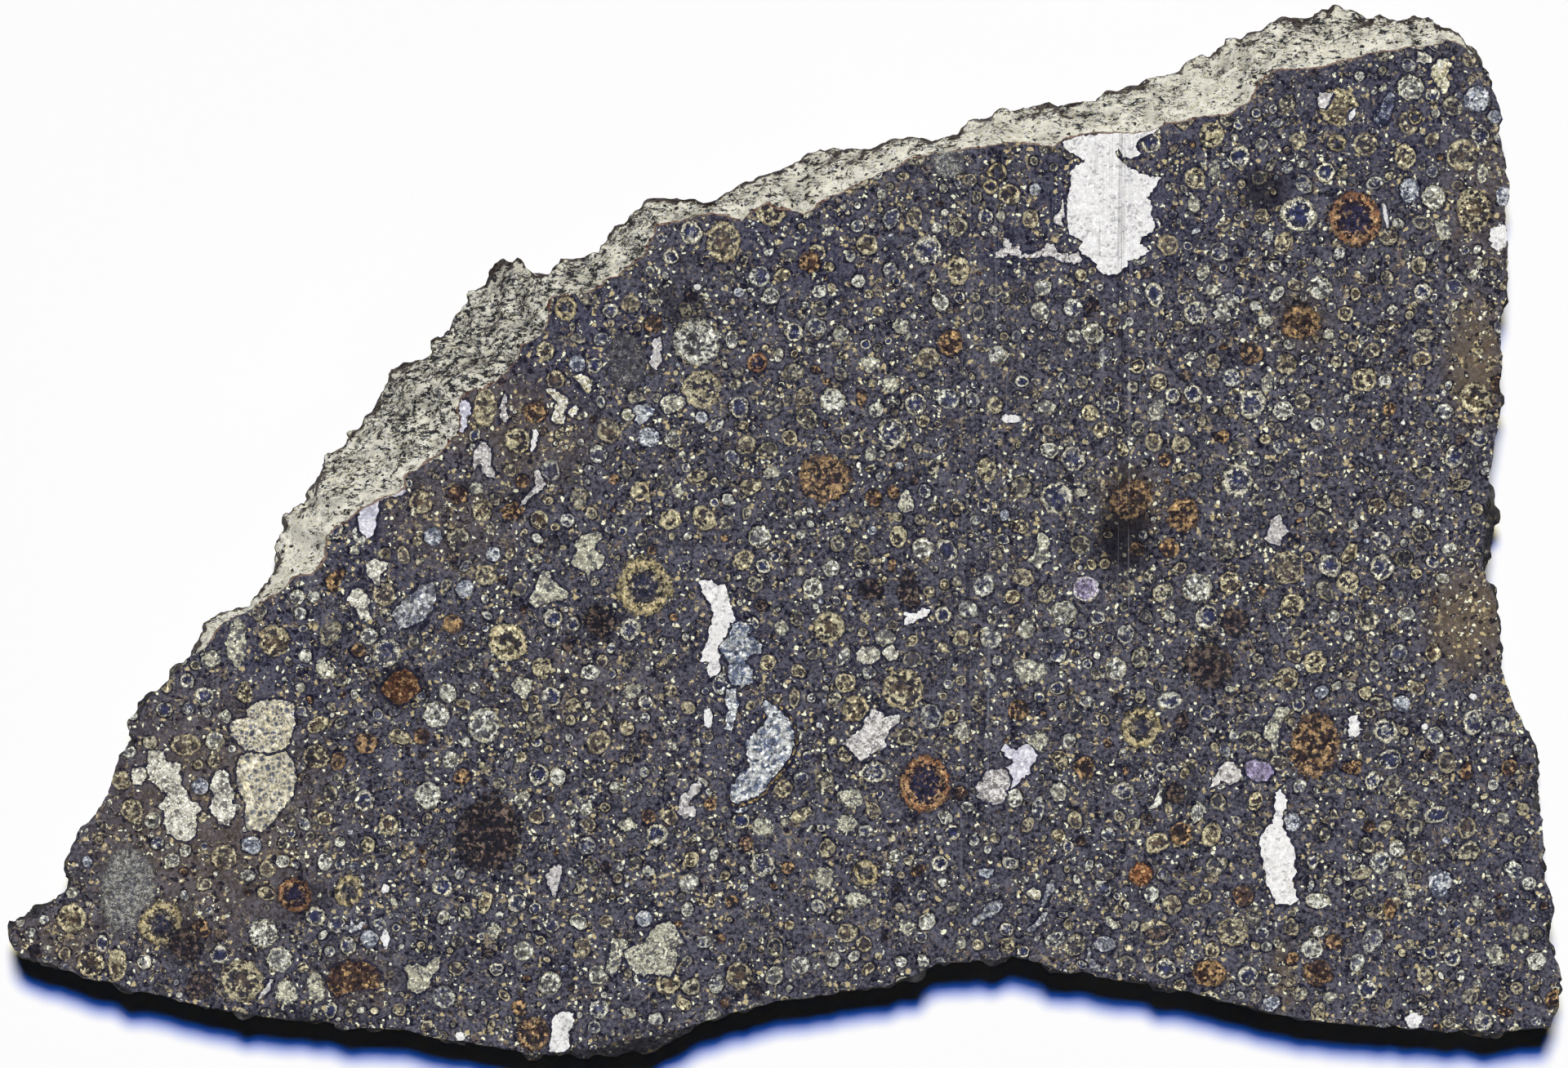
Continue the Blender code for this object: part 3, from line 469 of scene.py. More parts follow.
    "wideFluff": ("cream", [
        (646, 735), (655, 722), (662, 700), (672, 699), (678, 712), (690, 722), (698, 727), (688, 735),
        (670, 737), (655, 745),
    ]),
    "heartFluff": ("cream", [(625, 838), (634, 830), (652, 832), (650, 845), (645, 857), (632, 850)]),
    "lowFluff": ("cream", [
        (763, 1165), (775, 1160), (790, 1155), (797, 1140), (805, 1132), (820, 1128), (830, 1140),
        (838, 1155), (826, 1160), (830, 1175), (822, 1195), (800, 1193), (785, 1195), (772, 1185),
        (768, 1175),
    ]),
    "lowFluffArm": ("cream", [
        (750, 1150), (762, 1148), (770, 1155), (762, 1165), (760, 1180), (750, 1198), (742, 1190),
        (745, 1175), (748, 1160),
    ]),
    "treeFluff": ("cream", [
        (495, 1185), (508, 1180), (520, 1185), (530, 1175), (540, 1170), (538, 1185), (528, 1195),
        (525, 1210), (510, 1218), (498, 1210), (500, 1198),
    ]),
    "starFluff": ("ashen", [
        (418, 1137), (428, 1132), (431, 1124), (434, 1133), (449, 1128), (440, 1138), (430, 1142),
    ]),
    "greyFluff": ("ashen", [
        (480, 750), (500, 730), (515, 718), (530, 712), (535, 725), (530, 745), (520, 758), (505, 765),
        (490, 770),
    ]),
    "edgeFluff": ("paleCream", [
        (430, 722), (444, 720), (452, 735), (450, 748), (455, 758), (442, 758), (434, 745), (426, 735),
    ]),
    "edgeFluffTop": ("paleCream", [
        (448, 690), (460, 684), (475, 690), (472, 697), (465, 706), (464, 718), (456, 712), (450, 702),
    ]),
    "kidney": ("pale", [
        (1488, 366), (1498, 360), (1510, 360), (1518, 367), (1515, 374), (1506, 380), (1508, 392),
        (1498, 397), (1490, 391), (1486, 382), (1492, 376),
    ]),
    "speckledTop": ("speckled", [
        (301, 868), (320, 858), (345, 856), (360, 862), (361, 885), (355, 905), (351, 918), (330, 925),
        (303, 920), (292, 910), (283, 900), (281, 888), (290, 881), (302, 880),
    ]),
    "speckledLow": ("speckled", [
        (303, 921), (330, 925), (351, 919), (360, 935), (363, 955), (358, 975), (345, 990), (333, 1008),
        (320, 1018), (303, 1015), (299, 1000), (303, 985), (292, 968), (289, 945), (293, 928),
    ]),
    "blueWhite": ("blueSpotted", [
        (897, 765), (905, 761), (915, 765), (922, 770), (915, 778), (925, 782), (933, 790), (932, 799),
        (920, 802), (912, 810), (922, 820), (921, 835), (908, 842), (897, 838), (890, 828), (893, 812),
        (886, 803), (880, 795), (888, 785), (895, 775),
    ]),
    "blueWhiteTail": ("blueSpotted", [
        (890, 845), (900, 842), (904, 860), (900, 880), (896, 896), (888, 892), (892, 870), (888, 856),
    ]),
    "bananaRim": ("goldenRim", [
        (943, 856), (957, 867), (968, 878), (976, 897), (976, 913), (969, 932), (955, 951), (945, 961),
        (936, 973), (921, 983), (900, 989), (890, 980), (894, 962), (912, 948), (922, 920), (932, 890),
        (938, 868),
    ]),
    "banana": ("blueSpotted", [
        (935, 858), (943, 860), (955, 870), (965, 880), (972, 898), (972, 912), (965, 930), (952, 947),
        (943, 955), (935, 968), (920, 978), (900, 985), (894, 978), (897, 962), (905, 950), (918, 940),
        (915, 925), (914, 910), (922, 898), (935, 888), (940, 878), (936, 868),
    ]),
    "rustDiamond": ("brightRust", [
        (465, 845), (480, 825), (497, 818), (510, 830), (515, 845), (500, 858), (488, 865), (475, 855),
    ]),
    "rustSlab": ("rust", [
        (400, 1200), (405, 1185), (425, 1178), (445, 1178), (460, 1185), (468, 1197), (462, 1210),
        (445, 1212), (425, 1215), (412, 1222), (404, 1212),
    ]),
}

# Where the ground face is stained, tinted or darkened with painted shade: kind, then x, y, two radii, a turn
# and how strongly.
tints = {
    "dark": [
        (1376, 655, 42, 58, 0, 0.9), (1385, 600, 40, 40, 0, 0.5), (598, 1020, 60, 66, 0, 0.45),
        (735, 762, 34, 34, 0, 0.6), (852, 419, 46, 46, 0, 0.35), (492, 841, 42, 36, 10, 0.7),
        (1133, 960, 52, 52, 0, 0.3), (1659, 268, 50, 50, 0, 0.35), (228, 1150, 40, 36, 0, 0.6),
        (1544, 233, 40, 34, 0, 0.75), (835, 370, 38, 30, 0, 0.6), (910, 550, 30, 24, 0, 0.5),
        (1280, 600, 120, 90, 30, 0.18), (1440, 972, 26, 26, 0, 0.6), (375, 1096, 40, 34, 0, 0.6),
        (650, 560, 90, 80, 0, 0.25), (1595, 395, 40, 36, 0, 0.5), (434, 1199, 52, 40, 0, 0.35),
        (1481, 814, 46, 46, 0, 0.5), (905, 1200, 34, 28, 0, 0.45), (635, 612, 28, 20, 0, 0.6),
        # the last two dark patches are painted shade along the bottom edge, where the side there lies in
        # shadow
        (360, 1250, 120, 22, 0, 0.4), (760, 1262, 120, 20, 0, 0.35),
    ],
    "blue": [
        (1360, 240, 110, 130, 0, 0.55), (1260, 300, 90, 60, 0, 0.4), (640, 450, 90, 70, 30, 0.5),
        (990, 300, 120, 60, 20, 0.5), (720, 390, 90, 50, 30, 0.5), (330, 800, 90, 60, 40, 0.4),
        (905, 850, 70, 110, 10, 0.3), (1500, 215, 150, 80, 10, 0.35), (1700, 140, 140, 70, 10, 0.35),
        (470, 660, 80, 60, 30, 0.4), (1840, 1100, 60, 160, 0, 0.2), (150, 940, 60, 70, 30, 0.35),
    ],
    "brown": [
        (1805, 440, 34, 78, 0, 0.75), (1800, 760, 50, 62, 0, 0.8), (620, 520, 110, 70, 20, 0.35),
        (1820, 250, 60, 90, 0, 0.25), (80, 1150, 70, 40, 0, 0.35), (250, 1010, 150, 150, 0, 0.4),
        (1570, 1197, 16, 44, 0, 0.6), (1385, 610, 42, 40, 0, 0.5), (540, 640, 90, 60, 20, 0.25),
        (720, 850, 120, 60, 0, 0.12), (1595, 395, 40, 40, 0, 0.3), (435, 1199, 50, 34, 0, 0.3),
    ],
    "sawn": [
        (1200, 640, 52, 560, 0, 0.8), (1385, 430, 46, 330, 0, 1.0), (1300, 560, 130, 430, 0, 0.35),
        (1572, 1190, 18, 60, 0, 0.5), (1380, 250, 24, 80, 0, 0.45),
    ],
}

# Ground with few grains in it: x, y, two radii and a turn.
bareGround = [
    (1805, 440, 34, 78, 0), (1800, 760, 52, 62, 0), (1800, 840, 60, 20, 20), (1650, 560, 90, 60, -20),
    (1210, 560, 60, 60, 0), (470, 960, 60, 50, 0), (600, 880, 40, 30, 0), (1520, 660, 60, 30, 0),
]

# How the two ground faces are filled. Sizes are radii in mm, and the mixes are in parts. A new grain keeps
# off a placed one by the share "apart" of that one's radius, and has "tries" places looked at for it.
cover = {
    "front": dict(
        seed=41, medium=2300, mediumSize=(0.23, 0.74), small=2700, smallSize=(0.09, 0.22), apart=0.98),
    "back": dict(
        seed=97, medium=1500, mediumSize=(0.25, 0.85), small=1300, smallSize=(0.11, 0.24), apart=0.99),
    "mediumMix": dict(pale=9, golden=28, olive=26, grey=17, ringed=8, cream=6, rust=4, blue=1, dark=3),
    "smallMix": dict(pale=30, golden=30, olive=16, grey=11, cream=8, blue=2, rust=3),
    "tries": 9,
    "bareKept": 0.75,  # how often a place in the bare ground is passed over
    "smallerMore": 1.45,  # 1 gives all sizes alike, and more gives more small ones
    "roundShare": 0.65, "round": (0.84, 1.0), "oval": (0.55, 0.85),
}

# How freely a grain strays from the looks of its kind. One of the broken values is taken times its wobble,
# and the grains that the photo shows keep their kind's brightness.
freedom = {
    "shown": dict(broken=(0.6, 1.0)),
    "shape": dict(broken=(1.0,)),
    "medium": dict(broken=(0.6, 1.0, 1.4, 3.0), brightness=(0.72, 1.2)),
    "small": dict(broken=(1.5, 3.0, 4.5), brightness=(0.72, 1.2)),
    "darks": (0.6, 1.4), "brights": (0.5, 1.5), "crystal": (0.8, 1.3),
    "waves": (2, 3, 5), "waveHeight": 1.5, "waveShare": (0.3, 1),
}

# How the outlines lie in the stone: corners at least, more for each mm of radius, and at most.
outlining = {
    "plain": (6, 9, 24),
    "fluffy": (8, 38, 64), "fluffyKinds": ("cream", "white"), "fluff": (-0.22, 0.20),
    "halo": 0.13, "haloShare": 0.4,  # room for the dark line: mm, and the most of the radius
    "step": 3.0, "shake": 1.6, "lineWide": 3.2,  # of outlines read from the photo, in its pixels
    "room": 0.40,  # radii that such an outline keeps free, as a share of its width and height
}


def axesOf(turn):  # cosine and sine of a turn that the photo shows, clockwise and in degrees
    angle = math.radians(-turn)
    return math.cos(angle), math.sin(angle)


def inRadii(awayX, awayY, wide, high, cosine, sine):  # a place along and across an ellipse, in its radii
    return (awayX * cosine + awayY * sine) / wide, (awayY * cosine - awayX * sine) / high


def insideEllipses(point, ellipses):
    for x, y, wide, high, turn in ellipses:
        away = point - atPixel(x, y)
        along, across = inRadii(away.x, away.y, wide * pixel, high * pixel, *axesOf(turn))
        if along * along + across * across < 1:
            return True
    return False


def newGrain(kind, middle, wide, high, turn, dice, level):
    look, free = looks[kind], freedom[level]
    brightness = dice.uniform(*free["brightness"]) if "brightness" in free else 1
    mid = tuple(c * brightness for c in blend(tone(look["mid"][0]), tone(look["mid"][1]), dice.random()))
    broken = look["wobble"] * dice.choice(free["broken"])
    waves = []
    for n in freedom["waves"]:
        height = broken * dice.uniform(*freedom["waveShare"]) * freedom["waveHeight"] / n
        waves.append((n, height, dice.uniform(0, math.tau)))
    return dict(
        kind=kind, middle=middle, wide=wide, high=high, turn=math.radians(turn), waves=waves,
        mid=mid, dark=tone(look["dark"]), bright=tone(look["bright"]),
        rim=tone(look["rim"]), core=tone(look["core"]), clear=dice.uniform(*look["clear"]),
        rimWide=dice.uniform(*look["rimWide"]), coreWide=dice.uniform(*look["coreWide"]),
        darks=look["darks"] * dice.uniform(*freedom["darks"]),
        brights=look["brights"] * dice.uniform(*freedom["brights"]),
        crystal=look["crystal"] * dice.uniform(*freedom["crystal"]),
        edge=look["edge"], split=look.get("split", plainSplit), even=look.get("even", 0.0),
    )


def grainRing(grain, dice):  # the grain's outline in the stone, a little outside the grain itself
    size = (grain["wide"] + grain["high"]) / 2
    fluffy = grain["kind"] in outlining["fluffyKinds"]
    least, perMm, most = outlining["fluffy" if fluffy else "plain"]
    count = round(min(most, least + perMm * size / mm))
    halo = min(outlining["halo"] * mm, size * outlining["haloShare"])
    cosine, sine = math.cos(grain["turn"]), math.sin(grain["turn"])
    ring = []
    for i in range(count):
        angle = math.tau * i / count
        reach = 1 + sum(height * math.cos(n * angle + start) for n, height, start in grain["waves"])
        if fluffy:
            reach *= 1 + dice.uniform(*outlining["fluff"])
        along = math.cos(angle) * (grain["wide"] * reach + halo)
        across = math.sin(angle) * (grain["high"] * reach + halo)
        away = Vector((along * cosine - across * sine, along * sine + across * cosine))
        ring.append(grain["middle"] + away)
    return ring


def turnedArea(ring):  # above zero where the ring runs counter-clockwise
    return sum(a.x * b.y - b.x * a.y for a, b in zip(ring, ring[1:] + ring[:1]))


def raggedRing(corners, dice):  # an outline read from the photo, with a ragged edge
    shake = outlining["shake"]
    ring = []
    for start, end in zip(corners, corners[1:] + corners[:1]):
        count = max(1, round(math.dist(start, end) / outlining["step"]))
        for i in range(count):
            share = i / count
            x = start[0] + (end[0] - start[0]) * share + dice.uniform(-shake, shake)
            y = start[1] + (end[1] - start[1]) * share + dice.uniform(-shake, shake)
            ring.append(atPixel(x, y))
    return ring[::-1] if turnedArea(ring) < 0 else ring


def grown(corners, amount):  # the outline moved outwards by that many of the photo's pixels
    points = [Vector(corner) for corner in corners]
    side = math.copysign(amount, turnedArea(points))
    ring = []
    for before, here, after in zip(points[-1:] + points[:-1], points, points[1:] + points[:1]):
        along = (after - before).normalized()
        ring.append((here.x + along.y * side, here.y - along.x * side))
    return ring


def shapeRoom(corners):  # an ellipse that stands for a read shape while the others are scattered round it
    across = [x for x, _ in corners]
    down = [y for _, y in corners]
    middle = atPixel((min(across) + max(across)) / 2, (min(down) + max(down)) / 2)
    wide = (max(across) - min(across)) * outlining["room"] * pixel
    high = (max(down) - min(down)) * outlining["room"] * pixel
    return dict(middle=middle, wide=wide, high=high, turn=0)


def scatterGrains(placed, face, level, dice, bare=()):  # new grains where no placed one is in the way
    count, sizes, apart = face[level], face[level + "Size"], face["apart"]
    spots = np.zeros((1 + len(placed) + count, 5))
    spots[0, :2] = farOut  # so the list is never empty
    for row, grain in zip(spots[1:], placed):
        row[:] = (grain["middle"].x, grain["middle"].y, grain["wide"], grain["high"], grain["turn"])
    used = 1 + len(placed)
    names, amounts = zip(*cover[level + "Mix"].items())
    added = []
    for _ in range(count * cover["tries"]):
        if len(added) == count:
            break
        middle = Vector([dice.uniform(lowCorner[axis], highCorner[axis]) for axis in (0, 1)])
        if dice.random() < cover["bareKept"] and insideEllipses(middle, bare):
            continue
        size = mm * (sizes[0] + (sizes[1] - sizes[0]) * dice.random() ** cover["smallerMore"])
        x, y, wide, high, turn = spots[:used].T
        along, across = inRadii(
            middle.x - x, middle.y - y, wide * apart + size, high * apart + size, np.cos(turn), np.sin(turn))
        if np.any(along ** 2 + across ** 2 < 1):
            continue
        kind = dice.choices(names, amounts)[0]
        stretch = dice.uniform(*cover["round" if dice.random() < cover["roundShare"] else "oval"])
        grain = newGrain(kind, middle, size, size * stretch, dice.uniform(0, 180), dice, level)
        spots[used] = (middle.x, middle.y, size, size * stretch, grain["turn"])
        used += 1
        added.append(grain)
    return added


def giveRings(grains, dice):
    for grain in grains:
        grain["ring"] = grainRing(grain, dice)
    return grains


def frontGrains():
    dice = random.Random(cover["front"]["seed"])
    shown = []
    for kind, spots in shownGrains.items():
        for x, y, wide, *rest in spots:
            high, turn = rest or (wide, 0 if kind == "cream" else dice.uniform(0, 180))
            shown.append(newGrain(kind, atPixel(x, y), wide * pixel, high * pixel, -turn, dice, "shown"))
    shapes = []
    for kind, corners in shownShapes.values():
        for layer, outline in (("outline", grown(corners, outlining["lineWide"])), (kind, corners)):
            shape = newGrain(layer, Vector((0, 0)), farOut, farOut, 0, dice, "shape")
            shape["ring"] = raggedRing(outline, dice)
            shapes.append(shape)
    taken = shown + [shapeRoom(corners) for _, corners in shownShapes.values()]
    medium = scatterGrains(taken, cover["front"], "medium", dice, bareGround)
    small = scatterGrains(taken + medium, cover["front"], "small", dice)
    return giveRings(small + medium + shown, dice) + shapes


def backGrains():
    dice = random.Random(cover["back"]["seed"])
    medium = scatterGrains([], cover["back"], "medium", dice)
    return giveRings(scatterGrains(medium, cover["back"], "small", dice) + medium, dice)


# The broken sides and the crust. Sizes are in mm, and slopes say how far up the surface faces. The crust is
# on one side of a line between two of the photo's pixels, and its ease says how far off the line it sets in
# and is whole.
sides = {
    "seed": 7, "cuts": 2, "crustFrom": (170, 842), "crustTo": (1834, 74), "crustEase": (-0.4, 0.8),
    "layers": (0.9, 2.1, 2),  # of lumps and flakes: how fast finer ones weaken, how much finer, how many
    "lump": 0.20, "lumpPitch": 1.3,
    "flake": 0.20, "flakePitch": 0.9, "flakeSteps": 3, "flakeRise": (0.55, 0.95),
    "flakeSlant": (0.75, 0.35, 0.45),  # how flakes are stretched along X, and lean with Y and with X
    "fine": 0.09, "finePitch": 0.42,
    "bumps": 320, "bumpSize": (0.35, 0.85), "bumpsBelow": 0.3,  # on the sides, by their share of crust
    "knobs": 260, "knobSize": (0.25, 0.60), "knobsAbove": 0.7, "knobSlope": 0.55,  # on the crust's lip
    "domeHeight": 0.35,  # of bumps and knobs, as a share of their size
    "patchPerMm": 0.35, "patchAmount": 0.35, "patchLift": 0.1,  # of roughness all over the crust
    "calm": 0.65, "calmSlope": (1.6, -0.3),  # how much calmer the smooth crust is where it faces up
    "edgeShake": 0.12, "edgePerMm": 2.1,
    "clearance": 0.02,  # what the sides keep from the planes of the two flat faces
}

# Where the crust is dark, split and grainy instead of smooth: x, y, two radii, a turn and how much.
roughCrust = [
    (555, 455, 120, 60, -50, 1.0), (640, 380, 90, 60, -50, 1.0), (500, 500, 70, 70, 0, 0.9),
    (700, 335, 60, 34, 0, 0.8), (790, 285, 40, 50, 0, 0.8), (425, 580, 40, 60, 0, 0.5),
    (1300, 140, 70, 26, 0, 0.45), (1400, 115, 40, 26, 0, 0.6), (1560, 60, 60, 40, -20, 0.5),
    (1640, 26, 60, 24, 0, 0.65), (300, 745, 50, 20, -20, 0.3), (860, 262, 60, 30, 0, 0.5),
    (1731, 38, 7, 26, -5, 1.6), (980, 225, 90, 30, -20, 0.5), (1735, 45, 30, 30, 0, 0.4),
    (1120, 185, 60, 26, 0, 0.4), (620, 330, 34, 22, 0, 1.0),
]

# How soft the edges of patches are: the amount in their middle, and how much of it each radius takes away.
softEdge = {"crust": (1.6, 1.1), "tint": (1.6, 1.2)}


def openStone():  # the frame's slice without its two flat faces, which are built again with grains
    stone = bmesh.new()
    stone.from_mesh(cadStone.data)
    stone.transform(cadStone.matrix_world)
    bmesh.ops.remove_doubles(stone, verts=stone.verts[:], dist=1e-6)
    stone.normal_update()
    flat = []
    for face in stone.faces:
        height = face.calc_center_median().z
        if abs(face.normal.z) > 0.9999 and (height < 1e-6 or height > topHeight - 1e-6):
            flat.append(face)
    bmesh.ops.delete(stone, geom=flat, context="FACES")
    bmesh.ops.subdivide_edges(stone, edges=stone.edges[:], cuts=sides["cuts"], use_grid_fill=True)
    bmesh.ops.triangulate(stone, faces=[f for f in stone.faces if len(f.verts) > 3])
    return stone


def crustShare(place):  # 1 on the crust side of the outline, 0 on the broken sides
    start, end = atPixel(*sides["crustFrom"]), atPixel(*sides["crustTo"])
    along = (end - start).normalized()
    above = (place.y - start.y) * along.x - (place.x - start.x) * along.y
    low, high = sides["crustEase"]
    return easeStep(low * mm, high * mm, above)


def roughShare(place):  # how far inside the crust's rough patches
    middleAmount, perRadius = softEdge["crust"]
    best = 0.0
    for x, y, wide, high, turn, amount in roughCrust:
        away = place.xy - atPixel(x, y)
        out = math.hypot(*inRadii(away.x, away.y, wide * pixel, high * pixel, *axesOf(turn)))
        best = max(best, amount * min(max(middleAmount - perRadius * out, 0.0), 1.0))
    return best


def flaked(value):  # turns a smooth slope into small steps
    steps = value * sides["flakeSteps"]
    whole = math.floor(steps)
    return (whole + easeStep(*sides["flakeRise"], steps - whole)) / sides["flakeSteps"]


def roundLumps(verts, count, sizes, dice):
    return [(vert.co.copy(), dice.uniform(*sizes) * mm) for vert in dice.sample(verts, count)]


def reliefAt(spot):  # lumps, flakes and fine grit together, in mm
    stretch, leanY, leanX = sides["flakeSlant"]
    slant = Vector((spot.x * stretch - spot.y * leanY, spot.y + spot.x * leanX, spot.z))
    lump = noise.fractal(spot / sides["lumpPitch"], *sides["layers"]) * sides["lump"]
    flake = flaked(noise.fractal(slant / sides["flakePitch"], *sides["layers"])) * sides["flake"]
    return lump + flake + noise.noise(spot / sides["finePitch"]) * sides["fine"]


def domesAt(place, domes):  # how high the round bumps or knobs stand at a place
    height = 0.0
    for middle, size in domes:
        away = (place - middle).length / size
        if away < 1:
            height += math.sqrt(1 - away * away) * size * sides["domeHeight"]
    return height


def roughen(stone):  # finer relief than the frame's, and how deep each point lies in it
    dice = random.Random(sides["seed"])
    stone.normal_update()
    rough = stone.verts.layers.float.new("rough")
    low = stone.verts.layers.float.new("low")
    seam = stone.verts.layers.float.new("seam")
    inner = [vert for vert in stone.verts if not vert.is_boundary]
    broken = [vert for vert in inner if crustShare(vert.co) < sides["bumpsBelow"]]
    bumps = roundLumps(broken, sides["bumps"], sides["bumpSize"], dice)
    lip = [vert for vert in inner
           if crustShare(vert.co) > sides["knobsAbove"] and vert.normal.z < sides["knobSlope"]]
    knobs = roundLumps(lip, sides["knobs"], sides["knobSize"], dice)
    perSlope, fromSlope = sides["calmSlope"]
    moves = []
    for vert in stone.verts:
        spot = vert.co / mm
        crust = crustShare(vert.co)
        patchy = roughShare(vert.co) if crust > 0 else 0
        spread = max(0.0, noise.noise(spot * sides["patchPerMm"]) + sides["patchLift"])
        patchy = min(1.0, patchy + sides["patchAmount"] * spread)
        vert[rough] = patchy
        if vert.is_boundary:
            vert[seam] = crust
            fine = spot * sides["edgePerMm"]
            shake = Vector((noise.noise(fine), noise.noise(fine + Vector((7, 3, 1))), 0))
            moves.append((vert, shake * sides["edgeShake"] * mm))
            continue
        flat = min(1, max(0, vert.normal.z * perSlope + fromSlope))
        calm = 1 - crust * sides["calm"] * (1 - patchy) * flat
        lift = reliefAt(spot) * calm * mm + domesAt(vert.co, knobs if crust > 0.5 else bumps)
        vert[low] = lift / mm
        moves.append((vert, vert.normal * lift))
    clearance = sides["clearance"] * mm
    for vert, move in moves:
        vert.co += move
        if not vert.is_boundary:
            vert.co.z = min(max(vert.co.z, clearance), topHeight - clearance)


def edgeLoop(stone, height):  # the open edge at that height, in order, counter-clockwise from above
    ahead = {}
    for edge in stone.edges:
        if edge.is_boundary and all(abs(vert.co.z - height) < 1e-7 for vert in edge.verts):
            for near, far in (edge.verts, reversed(edge.verts)):
                ahead.setdefault(near, []).append(far)
    first = min(ahead, key=lambda vert: vert.co.x)
    loop = [first, ahead[first][0]]
    while True:
        following = [vert for vert in ahead[loop[-1]] if vert is not loop[-2]][0]
        if following is first:
            break
        loop.append(following)
    return loop if turnedArea([vert.co for vert in loop]) > 0 else loop[::-1]


def layGround(stone, height, grains, grainLayer, firstGrain):  # one flat face, cut along its grains' outlines
    loop = edgeLoop(stone, height)
    places = [vert.co.xy for vert in loop]
    outlines = [list(range(len(loop)))]
    for grain in grains:
        outlines.append(list(range(len(places), len(places) + len(grain["ring"]))))
        places += grain["ring"]
    points, _, triangles, sources, _, owners = delaunay_2d_cdt(places, [], outlines, 1, 1e-9)
    kept = [(corners, max(owner)) for corners, owner in zip(triangles, owners) if 0 in owner]
    onLoop = {}
    for index, source in enumerate(sources):
        for old in source:
            if old < len(loop):
                onLoop[index] = old

    # Where a grain's outline crosses the stone's edge, the edge of the sides is split there too.
    steps = {step for corners, _ in kept for step in zip(corners, corners[1:] + corners[:1])}
    rim = {near: far for near, far in steps if (far, near) not in steps}
    made = {index: loop[old] for index, old in onLoop.items()}
    for index, old in onLoop.items():
        current, target = loop[old], loop[(old + 1) % len(loop)]
        step = rim[index]
        while step not in onLoop:
            edge = stone.edges.get((current, target))
            near, far = points[step] - current.co.xy, target.co.xy - current.co.xy
            current = bmesh.utils.edge_split(edge, current, min(0.99, near.length / far.length))[1]
            current.co = (points[step].x, points[step].y, height)
            made[step] = current
            step = rim[step]
    for corners, owner in kept:
        for index in corners:
            if index not in made:
                made[index] = stone.verts.new((points[index].x, points[index].y, height))
        order = corners if height > topHeight / 2 else corners[::-1]
        face = stone.faces.new([made[index] for index in order])
        face[grainLayer] = firstGrain + owner if owner else 1
        face.material_index = 0
    return len(kept)


def buildStone():
    stone = openStone()
    roughen(stone)
    grainLayer = stone.faces.layers.int.new("grain")
    for face in stone.faces:
        face[grainLayer] = 0
        face.material_index = 1
    print("sides:", len(stone.faces), "triangles")
    front, back = frontGrains(), backGrains()
    count = layGround(stone, topHeight, front, grainLayer, 1)
    print("ground face:", len(front), "grains,", count, "triangles")
    count = layGround(stone, 0.0, back, grainLayer, 1 + len(front))
    print("sawn back:", len(back), "grains,", count, "triangles")
    bmesh.ops.triangulate(stone, faces=[f for f in stone.faces if len(f.verts) > 3])
    for face in stone.faces:
        face.smooth = face.material_index == 1
    for edge in stone.edges:
        pair = edge.link_faces
        edge.smooth = len(pair) < 2 or pair[0].material_index == pair[1].material_index
    mesh = bpy.data.meshes.new("meteoriteSlice")
    stone.to_mesh(mesh)
    stone.free()
    return mesh, front + back


layerFields = {"FLOAT": "value", "FLOAT_VECTOR": "vector", "FLOAT_COLOR": "color"}


def addLayer(mesh, name, kind, domain, values):
    layer = mesh.attributes.new(name, kind, domain)
    layer.data.foreach_set(layerFields[kind], np.ascontiguousarray(values, dtype=np.float32).ravel())


def paintGrains(mesh, book, ids):  # what each face's grain is made of
    for name in ("mid", "dark", "bright", "rim", "core"):
        colours = np.array([(*grain[name], 1.0) for grain in book])
        addLayer(mesh, name + "Tone", "FLOAT_COLOR", "FACE", colours[ids])
    triples = {
        "grainForm": [(g["rimWide"], g["coreWide"], g["clear"]) for g in book],
        "grainMosaic": [(1 / g["crystal"], g["darks"], g["brights"]) for g in book],
        "grainSize": [(g["edge"], (g["wide"] + g["high"]) / 2 / mm, g["split"]) for g in book],
    }
    for name, values in triples.items():
        addLayer(mesh, name, "FLOAT_VECTOR", "FACE", np.array(values)[ids])
    addLayer(mesh, "even", "FLOAT", "FACE", np.array([grain["even"] for grain in book])[ids])


def paintPlaces(mesh, book, ids, spots):  # where each corner of a face lies in its grain, 1 being the edge
    corners = np.zeros(len(mesh.loops), dtype=np.int32)
    mesh.loops.foreach_get("vertex_index", corners)
    owner = np.repeat(ids, 3)
    forms = np.array([(*g["middle"], g["wide"], g["high"], g["turn"]) for g in book])
    x, y, wide, high, turn = forms[owner].T
    away = spots[corners]
    along, across = inRadii(away[:, 0] - x, away[:, 1] - y, wide, high, np.cos(turn), np.sin(turn))
    angle = np.arctan2(across, along)
    waves = np.array([[value for wave in g["waves"] for value in wave] for g in book])[owner]
    reach = 1 + sum(
        waves[:, i + 1] * np.cos(waves[:, i] * angle + waves[:, i + 2]) for i in range(0, waves.shape[1], 3))
    places = np.stack([along / reach, across / reach, 0 * reach], 1)
    addLayer(mesh, "grainPlace", "FLOAT_VECTOR", "CORNER", places)


def paintTints(mesh, spots):  # the front's dark, blue, brown and sawn patches, in the channels of one colour
    middleAmount, perRadius = softEdge["tint"]
    tint = np.zeros((len(spots), 4))
    for column, patches in enumerate(tints.values()):
        for x, y, wide, high, turn, amount in patches:
            middle = atPixel(x, y)
            along, across = inRadii(
                spots[:, 0] - middle.x, spots[:, 1] - middle.y, wide * pixel, high * pixel, *axesOf(turn))
            near = np.clip(middleAmount - perRadius * np.sqrt(along ** 2 + across ** 2), 0, 1)
            tint[:, column] = np.maximum(tint[:, column], near * amount)
    tint[spots[:, 2] < topHeight / 2] = 0
    addLayer(mesh, "tint", "FLOAT_COLOR", "POINT", tint)


